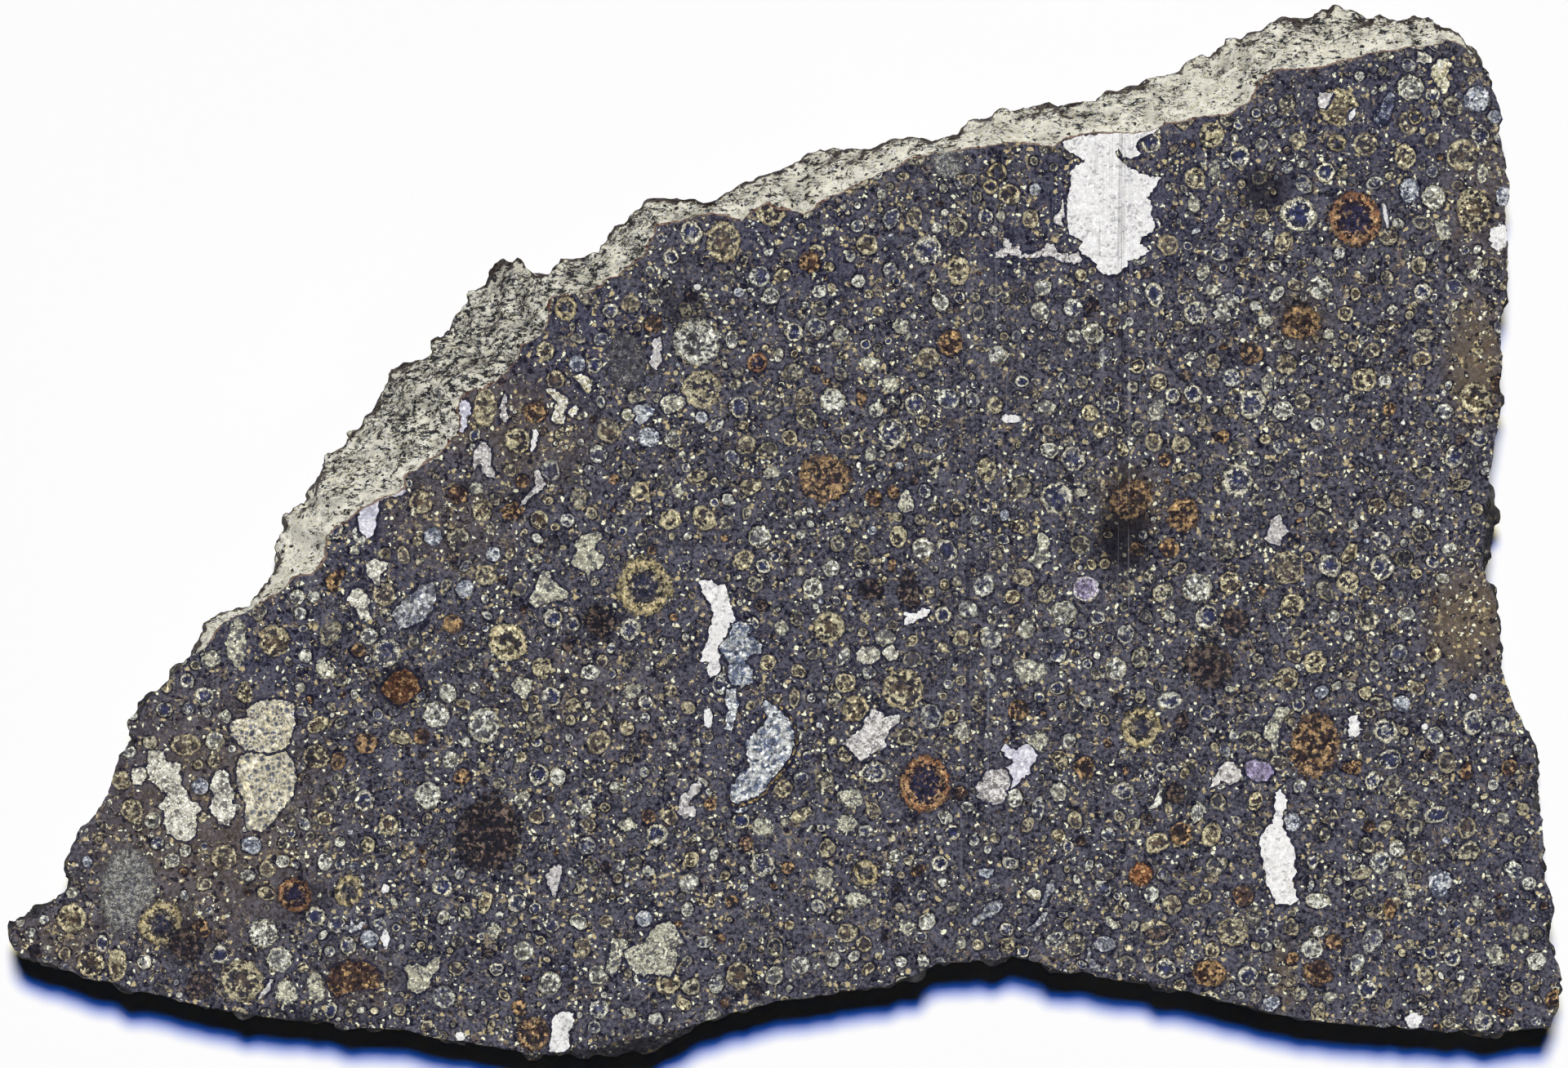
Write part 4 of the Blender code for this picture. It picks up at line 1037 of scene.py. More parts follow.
def paintLayers(mesh, grains):  # all that the materials read
    ids = np.zeros(len(mesh.polygons), dtype=np.int32)
    mesh.attributes["grain"].data.foreach_get("value", ids)
    plain = dict(grains[0], middle=Vector((0, 0)), wide=farOut, high=farOut, clear=0)
    book = [plain, plain] + grains  # the sides' faces have number 0, and the ground between grains has 1
    spots = np.zeros(len(mesh.vertices) * 3)
    mesh.vertices.foreach_get("co", spots)
    spots = spots.reshape(-1, 3)
    paintGrains(mesh, book, ids)
    paintPlaces(mesh, book, ids, spots)
    paintTints(mesh, spots)
    addLayer(mesh, "crust", "FLOAT", "POINT", [crustShare(Vector(spot)) for spot in spots])
    normals = np.zeros(len(mesh.vertices) * 3)
    mesh.vertices.foreach_get("normal", normals)
    addLayer(mesh, "steep", "FLOAT", "POINT", 1 - np.clip(normals[2::3], 0, 1))


def makeGroup(name, inputs, outputs):
    tree = bpy.data.node_groups.new(name, "ShaderNodeTree")
    for direction, sockets in (("INPUT", inputs), ("OUTPUT", outputs)):
        for title, kind in sockets.items():
            tree.interface.new_socket(name=title, in_out=direction, socket_type="NodeSocket" + kind)
    return tree, tree.nodes.new("NodeGroupInput").outputs, tree.nodes.new("NodeGroupOutput").inputs


def useGroup(tree, group, **values):
    node = tree.nodes.new("ShaderNodeGroup")
    node.node_tree = group
    for name, value in values.items():
        feed(tree, node.inputs[name], value)
    return node.outputs


def feed(tree, socket, value):  # links a socket, or sets the value, and gives a colour its alpha
    if isinstance(value, bpy.types.NodeSocket):
        tree.links.new(value, socket)
    elif isinstance(value, tuple) and len(value) == 3 and len(socket.default_value) == 4:
        socket.default_value = (*value, 1)
    else:
        socket.default_value = value


def maths(tree, operation, *values):
    node = tree.nodes.new("ShaderNodeMath")
    node.operation = operation
    for socket, value in zip(node.inputs, values):
        feed(tree, socket, value)
    return node.outputs[0]


def times(tree, first, second):
    return maths(tree, "MULTIPLY", first, second)


def plus(tree, first, second):
    return maths(tree, "ADD", first, second)


def minus(tree, first, second):
    return maths(tree, "SUBTRACT", first, second)


def stretched(tree, vector, amounts):
    node = tree.nodes.new("ShaderNodeVectorMath")
    node.operation = "MULTIPLY"
    feed(tree, node.inputs[0], vector)
    feed(tree, node.inputs[1], amounts)
    return node.outputs[0]


def parts(tree, vector):
    node = tree.nodes.new("ShaderNodeSeparateXYZ")
    feed(tree, node.inputs[0], vector)
    return node.outputs


def shares(tree, colour):
    node = tree.nodes.new("ShaderNodeSeparateColor")
    feed(tree, node.inputs[0], colour)
    return node.outputs


def rise(tree, value, low, high, bottom=0.0, top=1.0):  # soft step: bottom below low, top above high
    node = tree.nodes.new("ShaderNodeMapRange")
    node.interpolation_type = "SMOOTHSTEP"
    for socket, number in zip(node.inputs, (value, low, high, bottom, top)):
        feed(tree, socket, number)
    return node.outputs[0]


def mixTones(tree, share, first, second, way="MIX"):  # inputs 6 and 7 and output 2 are the node's colours
    node = tree.nodes.new("ShaderNodeMix")
    node.data_type = "RGBA"
    node.blend_type = way
    feed(tree, node.inputs[0], share)
    feed(tree, node.inputs[6], first)
    feed(tree, node.inputs[7], second)
    return node.outputs[2]


def laidOver(tree, below, colour, mask, amount):  # a colour over what is below, where the mask is
    return mixTones(tree, times(tree, mask, amount), below, colour)


def grit(tree, place, perMm, detail=2.0, rough=0.6):
    node = tree.nodes.new("ShaderNodeTexNoise")
    feed(tree, node.inputs["Vector"], place)
    feed(tree, node.inputs["Scale"], perMm)
    node.inputs["Detail"].default_value = detail
    node.inputs["Roughness"].default_value = rough
    return node.outputs["Fac"]


def cells(tree, place, perMm, feature="F1"):
    node = tree.nodes.new("ShaderNodeTexVoronoi")
    node.feature = feature
    feed(tree, node.inputs["Vector"], place)
    feed(tree, node.inputs["Scale"], perMm)
    return node.outputs


def pulledAbout(tree, place, perMm, amount):  # places moved by a noise, so that cells lose their neat edges
    node = tree.nodes.new("ShaderNodeTexNoise")
    feed(tree, node.inputs["Vector"], place)
    node.inputs["Scale"].default_value = perMm
    node.inputs["Detail"].default_value = 2.0
    move = tree.nodes.new("ShaderNodeVectorMath")
    move.operation = "MULTIPLY_ADD"
    feed(tree, move.inputs[0], node.outputs["Color"])
    move.inputs[1].default_value = (amount, amount, amount)
    feed(tree, move.inputs[2], place)
    return move.outputs[0]


# In the dictionaries below, a noise is its scale per mm, its detail and its roughness, and a pull is a scale
# per mm and an amount. A step runs between its first two numbers, and two more are the amounts below and
# above it. An ease is how far a soft edge reaches inwards, and outwards where it has two numbers.

# Small uneven specks in a share of the cells, each with its own size, thick here and thin there.
speckForm = {
    "pull": (3.4, 0.42), "least": 0.25, "firm": 0.75,
    "thick": (0.8, 2.0), "thickStep": (0.38, 0.62, 0.35, 1.65),
}


def speckGroup():
    tree, given, result = makeGroup(
        "Specks", {"Place": "Vector", "PerMm": "Float", "Share": "Float", "Size": "Float"},
        {"Specks": "Float"})
    found = cells(tree, pulledAbout(tree, given["Place"], *speckForm["pull"]), given["PerMm"])
    pick, wide, _ = shares(tree, found["Color"])
    thick = rise(tree, grit(tree, given["Place"], *speckForm["thick"]), *speckForm["thickStep"])
    chosen = maths(tree, "LESS_THAN", pick, times(tree, given["Share"], thick))
    reach = times(tree, plus(tree, wide, speckForm["least"]), given["Size"])
    near = rise(tree, found["Distance"], times(tree, reach, speckForm["firm"]), reach, 1.0, 0.0)
    feed(tree, result["Specks"], times(tree, chosen, near))
    return tree


def speckled(tree, specks, place, below, colour, look):
    perMm, share, size, amount = look
    found = useGroup(tree, specks, Place=place, PerMm=perMm, Share=share, Size=size)
    return laidOver(tree, below, colour, found["Specks"], amount)


# The dark fine-grained ground between the grains, with crumbs, and with golden, pale and blue-black specks.
# Specks are: cells per mm, the share of them that is filled, their size in cells, and how strongly.
matrix = {
    "dark": "#1d1e2c", "light": "#6a6977", "pale": "#fafadc", "golden": "#cdbc90", "rusty": "#75604f",
    "black": "#0e0f22", "blue": "#26294e", "brown": "#73634b",
    "cloud": (0.9, 4.0, 0.6), "cloudShare": 0.7, "fine": (4.6, 5.0, 0.85), "fineShare": 2.5,
    "lightStep": (1.30, 1.98), "blueAmount": 0.5, "brownAmount": 0.75,
    "dirt": (0.7, 3.0), "dirtStep": (0.44, 0.64), "hue": (1.9, 2.0), "hueStep": (0.42, 0.60),
    "crumbs": (3.2, 4.0, 0.75), "crumbFrom": 0.60, "crumbDirt": 0.07, "crumbEase": 0.04, "crumbAmount": 0.5,
    "specks": {
        "golden": (3.0, 0.34, 0.40, 0.85), "pale": (3.9, 0.20, 0.42, 0.95), "black": (3.4, 0.34, 0.55, 0.85),
    },
}


def matrixGroup(specks):
    tree, given, result = makeGroup(
        "Stone matrix", {"Place": "Vector", "Blue": "Float", "Brown": "Float"}, {"Tone": "Color"})
    place = given["Place"]
    cloud = times(tree, grit(tree, place, *matrix["cloud"]), matrix["cloudShare"])
    fine = times(tree, grit(tree, place, *matrix["fine"]), matrix["fineShare"])
    isLight = rise(tree, plus(tree, fine, cloud), *matrix["lightStep"])
    ground = mixTones(tree, isLight, tone(matrix["dark"]), tone(matrix["light"]))
    ground = laidOver(tree, ground, tone(matrix["blue"]), given["Blue"], matrix["blueAmount"])
    ground = laidOver(tree, ground, tone(matrix["brown"]), given["Brown"], matrix["brownAmount"])
    dirt = rise(tree, grit(tree, place, *matrix["dirt"]), *matrix["dirtStep"])
    crumbFrom = minus(tree, matrix["crumbFrom"], times(tree, dirt, matrix["crumbDirt"]))
    crumbTo = plus(tree, crumbFrom, matrix["crumbEase"])
    crumbs = rise(tree, grit(tree, place, *matrix["crumbs"]), crumbFrom, crumbTo)
    hue = rise(tree, grit(tree, place, *matrix["hue"]), *matrix["hueStep"])
    crumbTone = mixTones(tree, hue, tone(matrix["golden"]), tone(matrix["rusty"]))
    ground = laidOver(tree, ground, crumbTone, crumbs, matrix["crumbAmount"])
    for name, look in matrix["specks"].items():
        ground = speckled(tree, specks, place, ground, tone(matrix[name]), look)
    feed(tree, result["Tone"], ground)
    return tree


# How a grain is painted from its own values. Distances from its middle are in radii, and past its edge in mm.
# mottleWorn is how much of the crystal's wear counts, and what is added.
grainPaint = {
    "edge": (3.6, 4.0, 0.7), "edgeMiddle": 0.44, "edgeReach": 11.0,
    "pull": (5.0, 0.22), "cluster": (2.2, 4.0, 0.7), "clusterReach": 2.4,
    "patch": (1.5, 3.0), "patchStep": (0.44, 0.62, 0.0, 0.55), "darkAmount": 0.85,
    "coreEase": (0.10, 0.06), "coreStep": (0.15, 0.35, 0.0, 0.85),
    "rimEase": (0.05, 0.02), "rimStep": (0.18, 0.42, 0.10, 1.0),
    "brightAt": 0.80, "brightStep": (0.04, 0.22, 0.20, 0.0), "glow": 0.95, "coreDims": 0.55, "shade": 0.5,
    "jointStep": (0.03, 0.24),
    "mottle": (3.6, 5.0, 0.85), "mottleStep": (0.38, 0.62, 0.32, 1.58), "mottleWorn": (0.6, 0.7),
    "coverStep": (-0.03, 0.012, 1.0, 0.0),
    "lineFrom": (-0.05, -0.01), "lineTo": 0.04, "lineWide": 0.15, "lineShare": 0.45, "lineClear": (0.0, 0.8),
    "gaps": (1.4, 3.0, 0.7), "gapStep": (0.42, 0.60, 0.18, 1.0),
}


# How far out a point is in its grain: 0 in the middle, 1 at a ragged edge, and how far past that edge in mm.
def reachGroup():
    tree, given, result = makeGroup(
        "Grain reach", {"GrainPlace": "Vector", "Place": "Vector", "Size": "Vector"},
        {"Out": "Float", "Beyond": "Float"})
    length = tree.nodes.new("ShaderNodeVectorMath")
    length.operation = "LENGTH"
    feed(tree, length.inputs[0], given["GrainPlace"])
    edge, radius, _ = parts(tree, given["Size"])
    uneven = minus(tree, grit(tree, given["Place"], *grainPaint["edge"]), grainPaint["edgeMiddle"])
    reach = times(tree, edge, grainPaint["edgeReach"])
    out = maths(tree, "MULTIPLY_ADD", uneven, reach, length.outputs["Value"])
    feed(tree, result["Out"], out)
    feed(tree, result["Beyond"], times(tree, minus(tree, out, 1.0), radius))
    return tree


# One grain: its crystals, a rim and a core, how much of it covers the stone, and the thin dark line round it.
def grainGroup(reach):
    tree, given, result = makeGroup(
        "Grain", {
            "GrainPlace": "Vector", "Place": "Vector", "Form": "Vector", "Mosaic": "Vector", "Size": "Vector",
            "Even": "Float", "Mid": "Color", "Dark": "Color", "Bright": "Color", "Rim": "Color",
            "Core": "Color",
        }, {"Tone": "Color", "Cover": "Float", "Line": "Float"})
    place = given["Place"]
    rimWide, coreWide, clear = parts(tree, given["Form"])
    perMm, darks, brights = parts(tree, given["Mosaic"])
    _, radius, split = parts(tree, given["Size"])
    found = useGroup(tree, reach, GrainPlace=given["GrainPlace"], Place=place, Size=given["Size"])
    out, beyond = found["Out"], found["Beyond"]

    # The crystals: which are dark and which are bright, in clusters and with more bright ones near the rim.
    pulled = pulledAbout(tree, place, *grainPaint["pull"])
    pick, worn, shade = shares(tree, cells(tree, pulled, perMm)["Color"])
    cluster = minus(tree, grit(tree, place, *grainPaint["cluster"]), 0.5)
    cluster = times(tree, cluster, grainPaint["clusterReach"])
    near = maths(tree, "ABSOLUTE", minus(tree, out, grainPaint["brightAt"]))
    near = rise(tree, near, *grainPaint["brightStep"])
    brightFrom = minus(tree, minus(tree, minus(tree, 1.0, brights), cluster), near)
    isBright = maths(tree, "GREATER_THAN", pick, brightFrom)
    isDark = maths(tree, "LESS_THAN", pick, minus(tree, darks, cluster))
    patch = rise(tree, grit(tree, place, *grainPaint["patch"]), *grainPaint["patchStep"])
    tones = mixTones(tree, patch, given["Mid"], given["Core"])
    tones = laidOver(tree, tones, given["Dark"], isDark, grainPaint["darkAmount"])

    # The core, the rim, the bright crystals over both, and the dark joints between crystals.
    inside, outside = grainPaint["coreEase"]
    isCore = rise(tree, out, minus(tree, coreWide, inside), plus(tree, coreWide, outside), 1.0, 0.0)
    isCore = times(tree, isCore, rise(tree, coreWide, *grainPaint["coreStep"]))
    tones = mixTones(tree, isCore, tones, given["Core"])
    rimFrom = minus(tree, 1.0, rimWide)
    inside, outside = grainPaint["rimEase"]
    isRim = rise(tree, out, minus(tree, rimFrom, inside), plus(tree, rimFrom, outside))
    isRim = times(tree, isRim, rise(tree, worn, *grainPaint["rimStep"]))
    tones = mixTones(tree, isRim, tones, given["Rim"])
    glow = minus(tree, grainPaint["glow"], times(tree, isCore, grainPaint["coreDims"]))
    shaded = maths(tree, "MULTIPLY_ADD", shade, grainPaint["shade"], 1 - grainPaint["shade"])
    tones = mixTones(tree, times(tree, times(tree, isBright, glow), shaded), tones, given["Bright"])
    between = cells(tree, pulled, perMm, "DISTANCE_TO_EDGE")["Distance"]
    tones = mixTones(tree, rise(tree, between, *grainPaint["jointStep"], split, 0.0), tones, given["Dark"])
    mottle = rise(tree, grit(tree, place, *grainPaint["mottle"]), *grainPaint["mottleStep"])
    mottle = times(tree, mottle, maths(tree, "MULTIPLY_ADD", worn, *grainPaint["mottleWorn"]))
    mottle = mixTones(tree, given["Even"], mottle, (1.0, 1.0, 1.0))
    feed(tree, result["Tone"], mixTones(tree, 1.0, tones, mottle, "MULTIPLY"))

    # How much of the grain shows, and the broken dark line just past its edge.
    feed(tree, result["Cover"], times(tree, rise(tree, beyond, *grainPaint["coverStep"]), clear))
    lineEnd = maths(tree, "MINIMUM", grainPaint["lineWide"], times(tree, radius, grainPaint["lineShare"]))
    line = rise(tree, beyond, grainPaint["lineTo"], lineEnd, 1.0, 0.0)
    line = times(tree, rise(tree, beyond, *grainPaint["lineFrom"]), line)
    line = times(tree, line, rise(tree, grit(tree, place, *grainPaint["gaps"]), *grainPaint["gapStep"]))
    feed(tree, result["Line"], times(tree, line, rise(tree, clear, *grainPaint["lineClear"])))
    return tree


# Thin straight marks of the saw down the face, dark ones and light ones, which fade out here and there.
saw = {
    "dark": "#20202f", "light": "#9a9ba8", "darkAmount": 0.65, "lightAmount": 0.34,
    "lines": (3.4, 4.0, 0.8), "lineStretch": (1.0, 0.012, 1.0),
    "breaks": (1.5, 2.0), "breakStretch": (1.0, 0.15, 1.0), "breakStep": (0.32, 0.56),
    "darkStep": (0.54, 0.64), "lightStep": (0.36, 0.44, 1.0, 0.0),
}


def sawGroup():
    tree, given, result = makeGroup(
        "Saw marks", {"Place": "Vector", "Amount": "Float"}, {"Dark": "Float", "Light": "Float"})
    lines = grit(tree, stretched(tree, given["Place"], saw["lineStretch"]), *saw["lines"])
    breaks = grit(tree, stretched(tree, given["Place"], saw["breakStretch"]), *saw["breaks"])
    shown = times(tree, rise(tree, breaks, *saw["breakStep"]), given["Amount"])
    feed(tree, result["Dark"], times(tree, rise(tree, lines, *saw["darkStep"]), shown))
    feed(tree, result["Light"], times(tree, rise(tree, lines, *saw["lightStep"]), shown))
    return tree


def readLayer(tree, name):
    node = tree.nodes.new("ShaderNodeAttribute")
    node.attribute_name = name
    return node.outputs


def stonePlace(tree):  # places on the stone in mm
    node = tree.nodes.new("ShaderNodeTexCoord")
    scaled = tree.nodes.new("ShaderNodeVectorMath")
    scaled.operation = "SCALE"
    feed(tree, scaled.inputs[0], node.outputs["Object"])
    feed(tree, scaled.inputs["Scale"], 1 / mm)
    return scaled.outputs[0]


def newMaterial(name):
    material = bpy.data.materials.new(name)
    material.use_nodes = True
    return material, material.node_tree, material.node_tree.nodes["Principled BSDF"].inputs


# The two ground faces: stains with torn edges, weaker on the grains, which are also a little smoother. The
# stain's amounts and the roughness are for the matrix and for the grains.
groundFace = {
    "stain": "#120f16", "torn": (0.9, 5.0, 0.75), "tornStretch": (1.6, 0.7, 1.0), "tornReach": 2.6,
    "stainStep": (0.15, 0.55), "stainAmounts": (0.95, 0.66), "lineAmount": 0.95,
    "roughness": (0.88, 0.74), "specular": 0.1,
}


def groundMaterial(matrixTree, grainTree, sawTree):
    material, tree, shader = newMaterial("groundStone")
    place = stonePlace(tree)
    tint = readLayer(tree, "tint")
    stain, blue, brown = shares(tree, tint["Color"])
    base = useGroup(tree, matrixTree, Place=place, Blue=blue, Brown=brown)["Tone"]
    vectors = {name: readLayer(tree, "grain" + name)["Vector"] for name in ("Form", "Mosaic", "Size")}
    colours = {name: readLayer(tree, name.lower() + "Tone")["Color"]
               for name in ("Mid", "Dark", "Bright", "Rim", "Core")}
    grain = useGroup(
        tree, grainTree, GrainPlace=readLayer(tree, "grainPlace")["Vector"], Place=place,
        Even=readLayer(tree, "even")["Fac"], **vectors, **colours)
    tones = mixTones(tree, grain["Cover"], base, grain["Tone"])
    tones = laidOver(tree, tones, tone(matrix["black"]), grain["Line"], groundFace["lineAmount"])

    torn = grit(tree, stretched(tree, place, groundFace["tornStretch"]), *groundFace["torn"])
    torn = times(tree, minus(tree, torn, 0.5), groundFace["tornReach"])
    stain = times(tree, stain, rise(tree, plus(tree, stain, torn), *groundFace["stainStep"]))
    stain = times(tree, stain, rise(tree, grain["Cover"], 0.0, 1.0, *groundFace["stainAmounts"]))
    tones = mixTones(tree, stain, tones, tone(groundFace["stain"]))
    marks = useGroup(tree, sawTree, Place=place, Amount=tint["Alpha"])
    tones = laidOver(tree, tones, tone(saw["dark"]), marks["Dark"], saw["darkAmount"])
    tones = laidOver(tree, tones, tone(saw["light"]), marks["Light"], saw["lightAmount"])
    feed(tree, shader["Base Color"], tones)
    feed(tree, shader["Roughness"], rise(tree, grain["Cover"], 0.0, 1.0, *groundFace["roughness"]))
    shader["Specular IOR Level"].default_value = groundFace["specular"]
    return material


# The crust is cream and split by dark ragged specks and cracks, denser where it is rough. Its steep lip is
# dark, and a brown seam runs along the ground face. crackWide and dotShare are how much of the denseness
# counts, and what is added. A crack has faded out at crackFade times its own width.
crustSkin = {
    "cream": "#fbf8eb", "worn": "#dbd8c8", "speck": "#0f1122", "shade": "#d6d3c7", "lip": "#35262a",
    "seam": "#6b4033",
    "slant": -24, "slantStretch": (0.65, 1.25, 1.0),
    "wear": (1.6, 5.0, 0.75), "wearStep": (0.34, 0.62), "shadows": (1.3, 3.0), "shadowStep": (0.45, 0.65),
    "ragged": (2.4, 5.0, 0.80), "darkFrom": 0.602, "darkEase": 0.016, "denseRough": 0.074, "denseSteep": 0.03,
    "wriggle": (2.1, 3.0, 0.7), "crackWide": (0.20, 0.006), "crackFade": 2.2, "crackAmount": 0.9,
    "crackGaps": (1.2, 2.0), "crackGapStep": (0.40, 0.56),
    "dotPerMm": 3.6, "dotSize": 0.46, "dotShare": (1.8, 0.18), "markAmount": 0.97,
    "lipEdge": (2.6, 4.0, 0.75), "lipStep": (0.50, 0.62), "lipAmount": 0.9,
    "seamEdge": (1.6, 4.0, 0.75), "seamReach": 1.6, "seamStep": (1.42, 1.54), "seamAmount": 0.8,
    "deep": -0.6, "deepCracks": 0.5, "raggedHeight": -1.2, "wornHeight": 0.6,
}


def crustGroup(specks):
    tree, given, result = makeGroup(
        "Crust", {"Place": "Vector", "Rough": "Float", "Steep": "Float", "Seam": "Float"},
        {"Tone": "Color", "Height": "Float"})
    place, rough, steep = given["Place"], given["Rough"], given["Steep"]
    slanted = tree.nodes.new("ShaderNodeMapping")
    feed(tree, slanted.inputs["Vector"], place)
    slanted.inputs["Rotation"].default_value = (0, 0, math.radians(crustSkin["slant"]))
    slanted.inputs["Scale"].default_value = crustSkin["slantStretch"]
    slope = slanted.outputs[0]
    worn = grit(tree, place, *crustSkin["wear"])
    isCream = rise(tree, worn, *crustSkin["wearStep"])
    cream = mixTones(tree, isCream, tone(crustSkin["worn"]), tone(crustSkin["cream"]))
    shadows = rise(tree, grit(tree, slope, *crustSkin["shadows"]), *crustSkin["shadowStep"])
    cream = laidOver(tree, cream, tone(crustSkin["shade"]), rough, shadows)

    # Ragged dark specks, thin cracks with gaps in them, and small dots.
    ragged = grit(tree, slope, *crustSkin["ragged"])
    dense = times(tree, steep, crustSkin["denseSteep"])
    dense = maths(tree, "MULTIPLY_ADD", rough, crustSkin["denseRough"], dense)
    darkFrom = minus(tree, crustSkin["darkFrom"], dense)
    dark = rise(tree, ragged, darkFrom, plus(tree, darkFrom, crustSkin["darkEase"]))
    thin = maths(tree, "MULTIPLY_ADD", dense, *crustSkin["crackWide"])
    wriggle = maths(tree, "ABSOLUTE", minus(tree, grit(tree, slope, *crustSkin["wriggle"]), 0.5))
    cracks = rise(tree, wriggle, thin, times(tree, thin, crustSkin["crackFade"]), 1.0, 0.0)
    gaps = rise(tree, grit(tree, place, *crustSkin["crackGaps"]), *crustSkin["crackGapStep"])
    cracks = times(tree, cracks, gaps)
    dotShare = maths(tree, "MULTIPLY_ADD", dense, *crustSkin["dotShare"])
    dots = useGroup(tree, specks, Place=place, PerMm=crustSkin["dotPerMm"], Share=dotShare,
                    Size=crustSkin["dotSize"])["Specks"]
    marks = maths(tree, "MAXIMUM", dark, times(tree, cracks, crustSkin["crackAmount"]))
    marks = maths(tree, "MAXIMUM", marks, dots)
    cream = laidOver(tree, cream, tone(crustSkin["speck"]), marks, crustSkin["markAmount"])

    lip = plus(tree, steep, minus(tree, grit(tree, place, *crustSkin["lipEdge"]), 0.5))
    lip = rise(tree, lip, *crustSkin["lipStep"])
    cream = laidOver(tree, cream, tone(crustSkin["lip"]), lip, crustSkin["lipAmount"])
    seam = grit(tree, place, *crustSkin["seamEdge"])
    seam = maths(tree, "MULTIPLY_ADD", seam, crustSkin["seamReach"], given["Seam"])
    seam = rise(tree, seam, *crustSkin["seamStep"])
    cream = laidOver(tree, cream, tone(crustSkin["seam"]), seam, crustSkin["seamAmount"])
    feed(tree, result["Tone"], cream)
    deep = maths(tree, "MAXIMUM", dark, times(tree, cracks, crustSkin["deepCracks"]))
    lumps = times(tree, worn, crustSkin["wornHeight"])
    lumps = maths(tree, "MULTIPLY_ADD", ragged, crustSkin["raggedHeight"], lumps)
    feed(tree, result["Height"], plus(tree, lumps, times(tree, deep, crustSkin["deep"])))
    return tree


# The broken sides are dark stone with dusty patches, and with golden and pale specks as in the matrix.
breakSkin = {
    "stone": "#47464c", "stoneDark": "#15141c", "dust": "#8d8a80", "golden": "#7d6a46", "pale": "#a9a389",
    "fine": (3.2, 5.0, 0.78), "fineStep": (0.36, 0.64),
    "dusty": (0.5, 3.0), "dustStep": (0.52, 0.68), "dustAmount": 0.35,
    "specks": {"golden": (1.9, 0.40, 0.40, 0.65), "pale": (3.4, 0.25, 0.42, 0.75)},
}


def breakGroup(specks):
    tree, given, result = makeGroup("Broken stone", {"Place": "Vector"}, {"Tone": "Color", "Height": "Float"})
    place = given["Place"]
    fine = grit(tree, place, *breakSkin["fine"])
    isLight = rise(tree, fine, *breakSkin["fineStep"])
    stone = mixTones(tree, isLight, tone(breakSkin["stoneDark"]), tone(breakSkin["stone"]))
    dust = rise(tree, grit(tree, place, *breakSkin["dusty"]), *breakSkin["dustStep"])
    stone = laidOver(tree, stone, tone(breakSkin["dust"]), dust, breakSkin["dustAmount"])
    for name, look in breakSkin["specks"].items():
        stone = speckled(tree, specks, place, stone, tone(breakSkin[name]), look)
    feed(tree, result["Tone"], stone)
    feed(tree, result["Height"], fine)
    return tree


# What the crust and the broken sides share: painted shade darkens the hollows and a little painted light
# lifts what stands out, and the finest relief is a bump, whose height is in mm.
skin = {
    "hollowShadeStep": (-0.16, 0.04, 0.76, 1.08), "bump": 0.9, "bumpHeight": 0.20, "roughness": 0.85,
    "specular": 0.15,
}


def skinMaterial(specks):
    material, tree, shader = newMaterial("crustAndBreak")
    place = stonePlace(tree)
    crust = readLayer(tree, "crust")["Fac"]
    cream = useGroup(tree, crustGroup(specks), Place=place, Rough=readLayer(tree, "rough")["Fac"],
                     Steep=readLayer(tree, "steep")["Fac"], Seam=readLayer(tree, "seam")["Fac"])
    broken = useGroup(tree, breakGroup(specks), Place=place)
    tones = mixTones(tree, crust, broken["Tone"], cream["Tone"])
    # painted shade and light: the colour is darker in the hollows of the relief and a little brighter on what
    # stands out
    low = rise(tree, readLayer(tree, "low")["Fac"], *skin["hollowShadeStep"])
    feed(tree, shader["Base Color"], mixTones(tree, 1.0, tones, low, "MULTIPLY"))
    height = tree.nodes.new("ShaderNodeMix")
    feed(tree, height.inputs[0], crust)
    feed(tree, height.inputs[2], broken["Height"])
    feed(tree, height.inputs[3], cream["Height"])
    bump = tree.nodes.new("ShaderNodeBump")
    bump.inputs["Strength"].default_value = skin["bump"]
    bump.inputs["Distance"].default_value = skin["bumpHeight"] * mm
    feed(tree, bump.inputs["Height"], height.outputs[0])
    feed(tree, shader["Normal"], bump.outputs[0])
    shader["Roughness"].default_value = skin["roughness"]
    shader["Specular IOR Level"].default_value = skin["specular"]
    return material


def addStone():
    mesh, grains = buildStone()
    paintLayers(mesh, grains)
    specks = speckGroup()
    mesh.materials.append(groundMaterial(matrixGroup(specks), grainGroup(reachGroup()), sawGroup()))
    mesh.materials.append(skinMaterial(specks))
    stone = bpy.data.objects.new("meteoriteSlice", mesh)
    bpy.context.scene.collection.objects.link(stone)
    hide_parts("meteorite_slice")
    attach(stone, "root")
    print("stone:", len(mesh.polygons), "triangles")


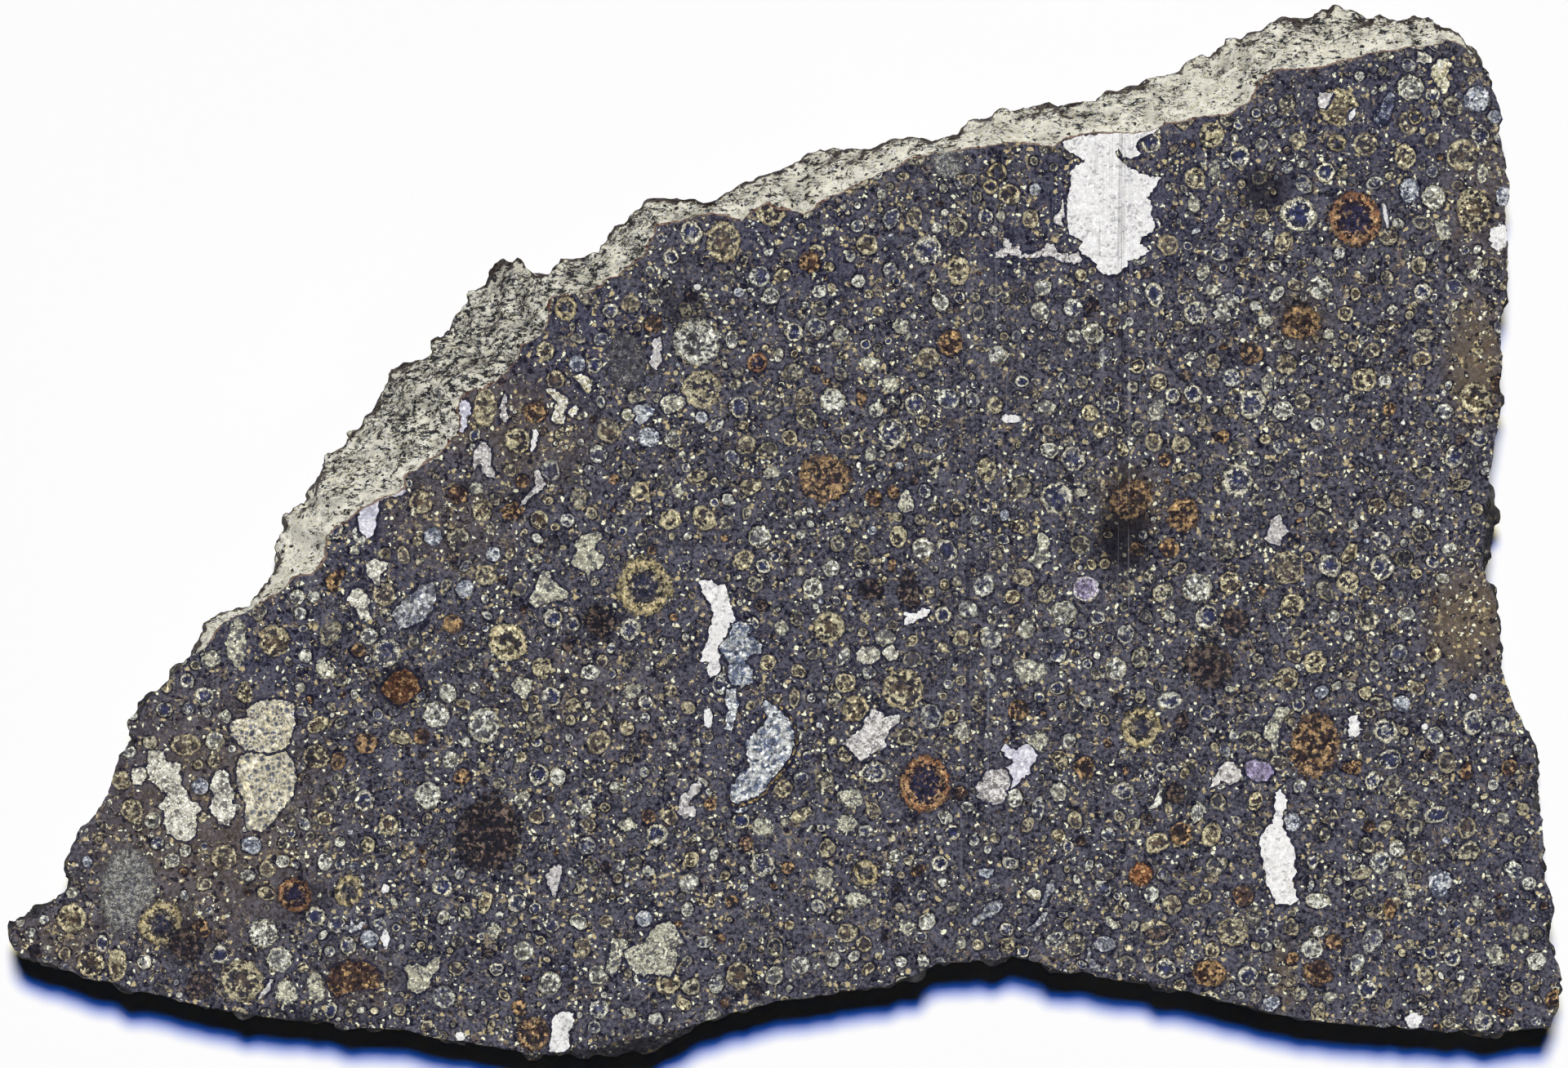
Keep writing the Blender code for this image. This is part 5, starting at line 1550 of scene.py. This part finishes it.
# Paper-white floor, two soft lamps from above the photo's top edge, and a long lens straight above. The cool
# lamp stands a little higher than the warm one, so the shadow ends in a blue fringe.
stage = {
    "floorTone": "#fbfbfc", "floorSize": 2.4, "floorRoughness": 0.9,
    "lamps": {
        "warmKey": {"power": 3.32, "tone": (1.0, 0.88, 0.28), "tilt": 15.9, "spread": 8.5},
        "coolKey": {"power": 3.32, "tone": (0.0, 0.115, 0.702), "tilt": 12.7, "spread": 7.5},
    },
    "lampPlace": (0, 0.3, 0.5),
    "fill": 0.0015, "fillTone": "#8fa6ff",
    "lens": 500, "sensor": 36, "aim": (960, 654),
}


def addStage():
    size = stage["floorSize"] / 2
    mesh = bpy.data.meshes.new("paper")
    corners = [(-size, -size, 0), (size, -size, 0), (size, size, 0), (-size, size, 0)]
    mesh.from_pydata(corners, [], [(0, 1, 2, 3)])
    material, _, shader = newMaterial("paper")
    shader["Base Color"].default_value = (*tone(stage["floorTone"]), 1)
    shader["Roughness"].default_value = stage["floorRoughness"]
    mesh.materials.append(material)
    floor = bpy.data.objects.new("paper", mesh)
    bpy.context.scene.collection.objects.link(floor)

    for name, look in stage["lamps"].items():
        lamp = bpy.data.lights.new(name, "SUN")
        lamp.energy = look["power"]
        lamp.color = look["tone"]
        lamp.angle = math.radians(look["spread"])
        key = bpy.data.objects.new(name, lamp)
        key.rotation_euler = (-math.radians(look["tilt"]), 0, 0)
        key.location = stage["lampPlace"]
        bpy.context.scene.collection.objects.link(key)

    world = bpy.data.worlds.new("room")
    world.use_nodes = True
    background = world.node_tree.nodes["Background"].inputs
    background["Color"].default_value = (*tone(stage["fillTone"]), 1)
    background["Strength"].default_value = stage["fill"]
    bpy.context.scene.world = world
    bpy.context.scene.view_settings.view_transform = "Standard"
    print("stage: paper and", len(stage["lamps"]), "lamps")


def addCamera():
    data = bpy.data.cameras.new("photoView")
    data.lens = stage["lens"]
    data.sensor_width = stage["sensor"]
    camera = bpy.data.objects.new("photoView", data)
    aim = atPixel(*stage["aim"])
    away = photo["wide"] * pixel * stage["lens"] / stage["sensor"]
    camera.location = (aim.x, aim.y, topHeight + away)
    data.clip_end = away * 2
    bpy.context.scene.collection.objects.link(camera)
    bpy.context.scene.camera = camera
    print("camera: straight above, at", round(away, 2), "m")


addStone()
addStage()
addCamera()
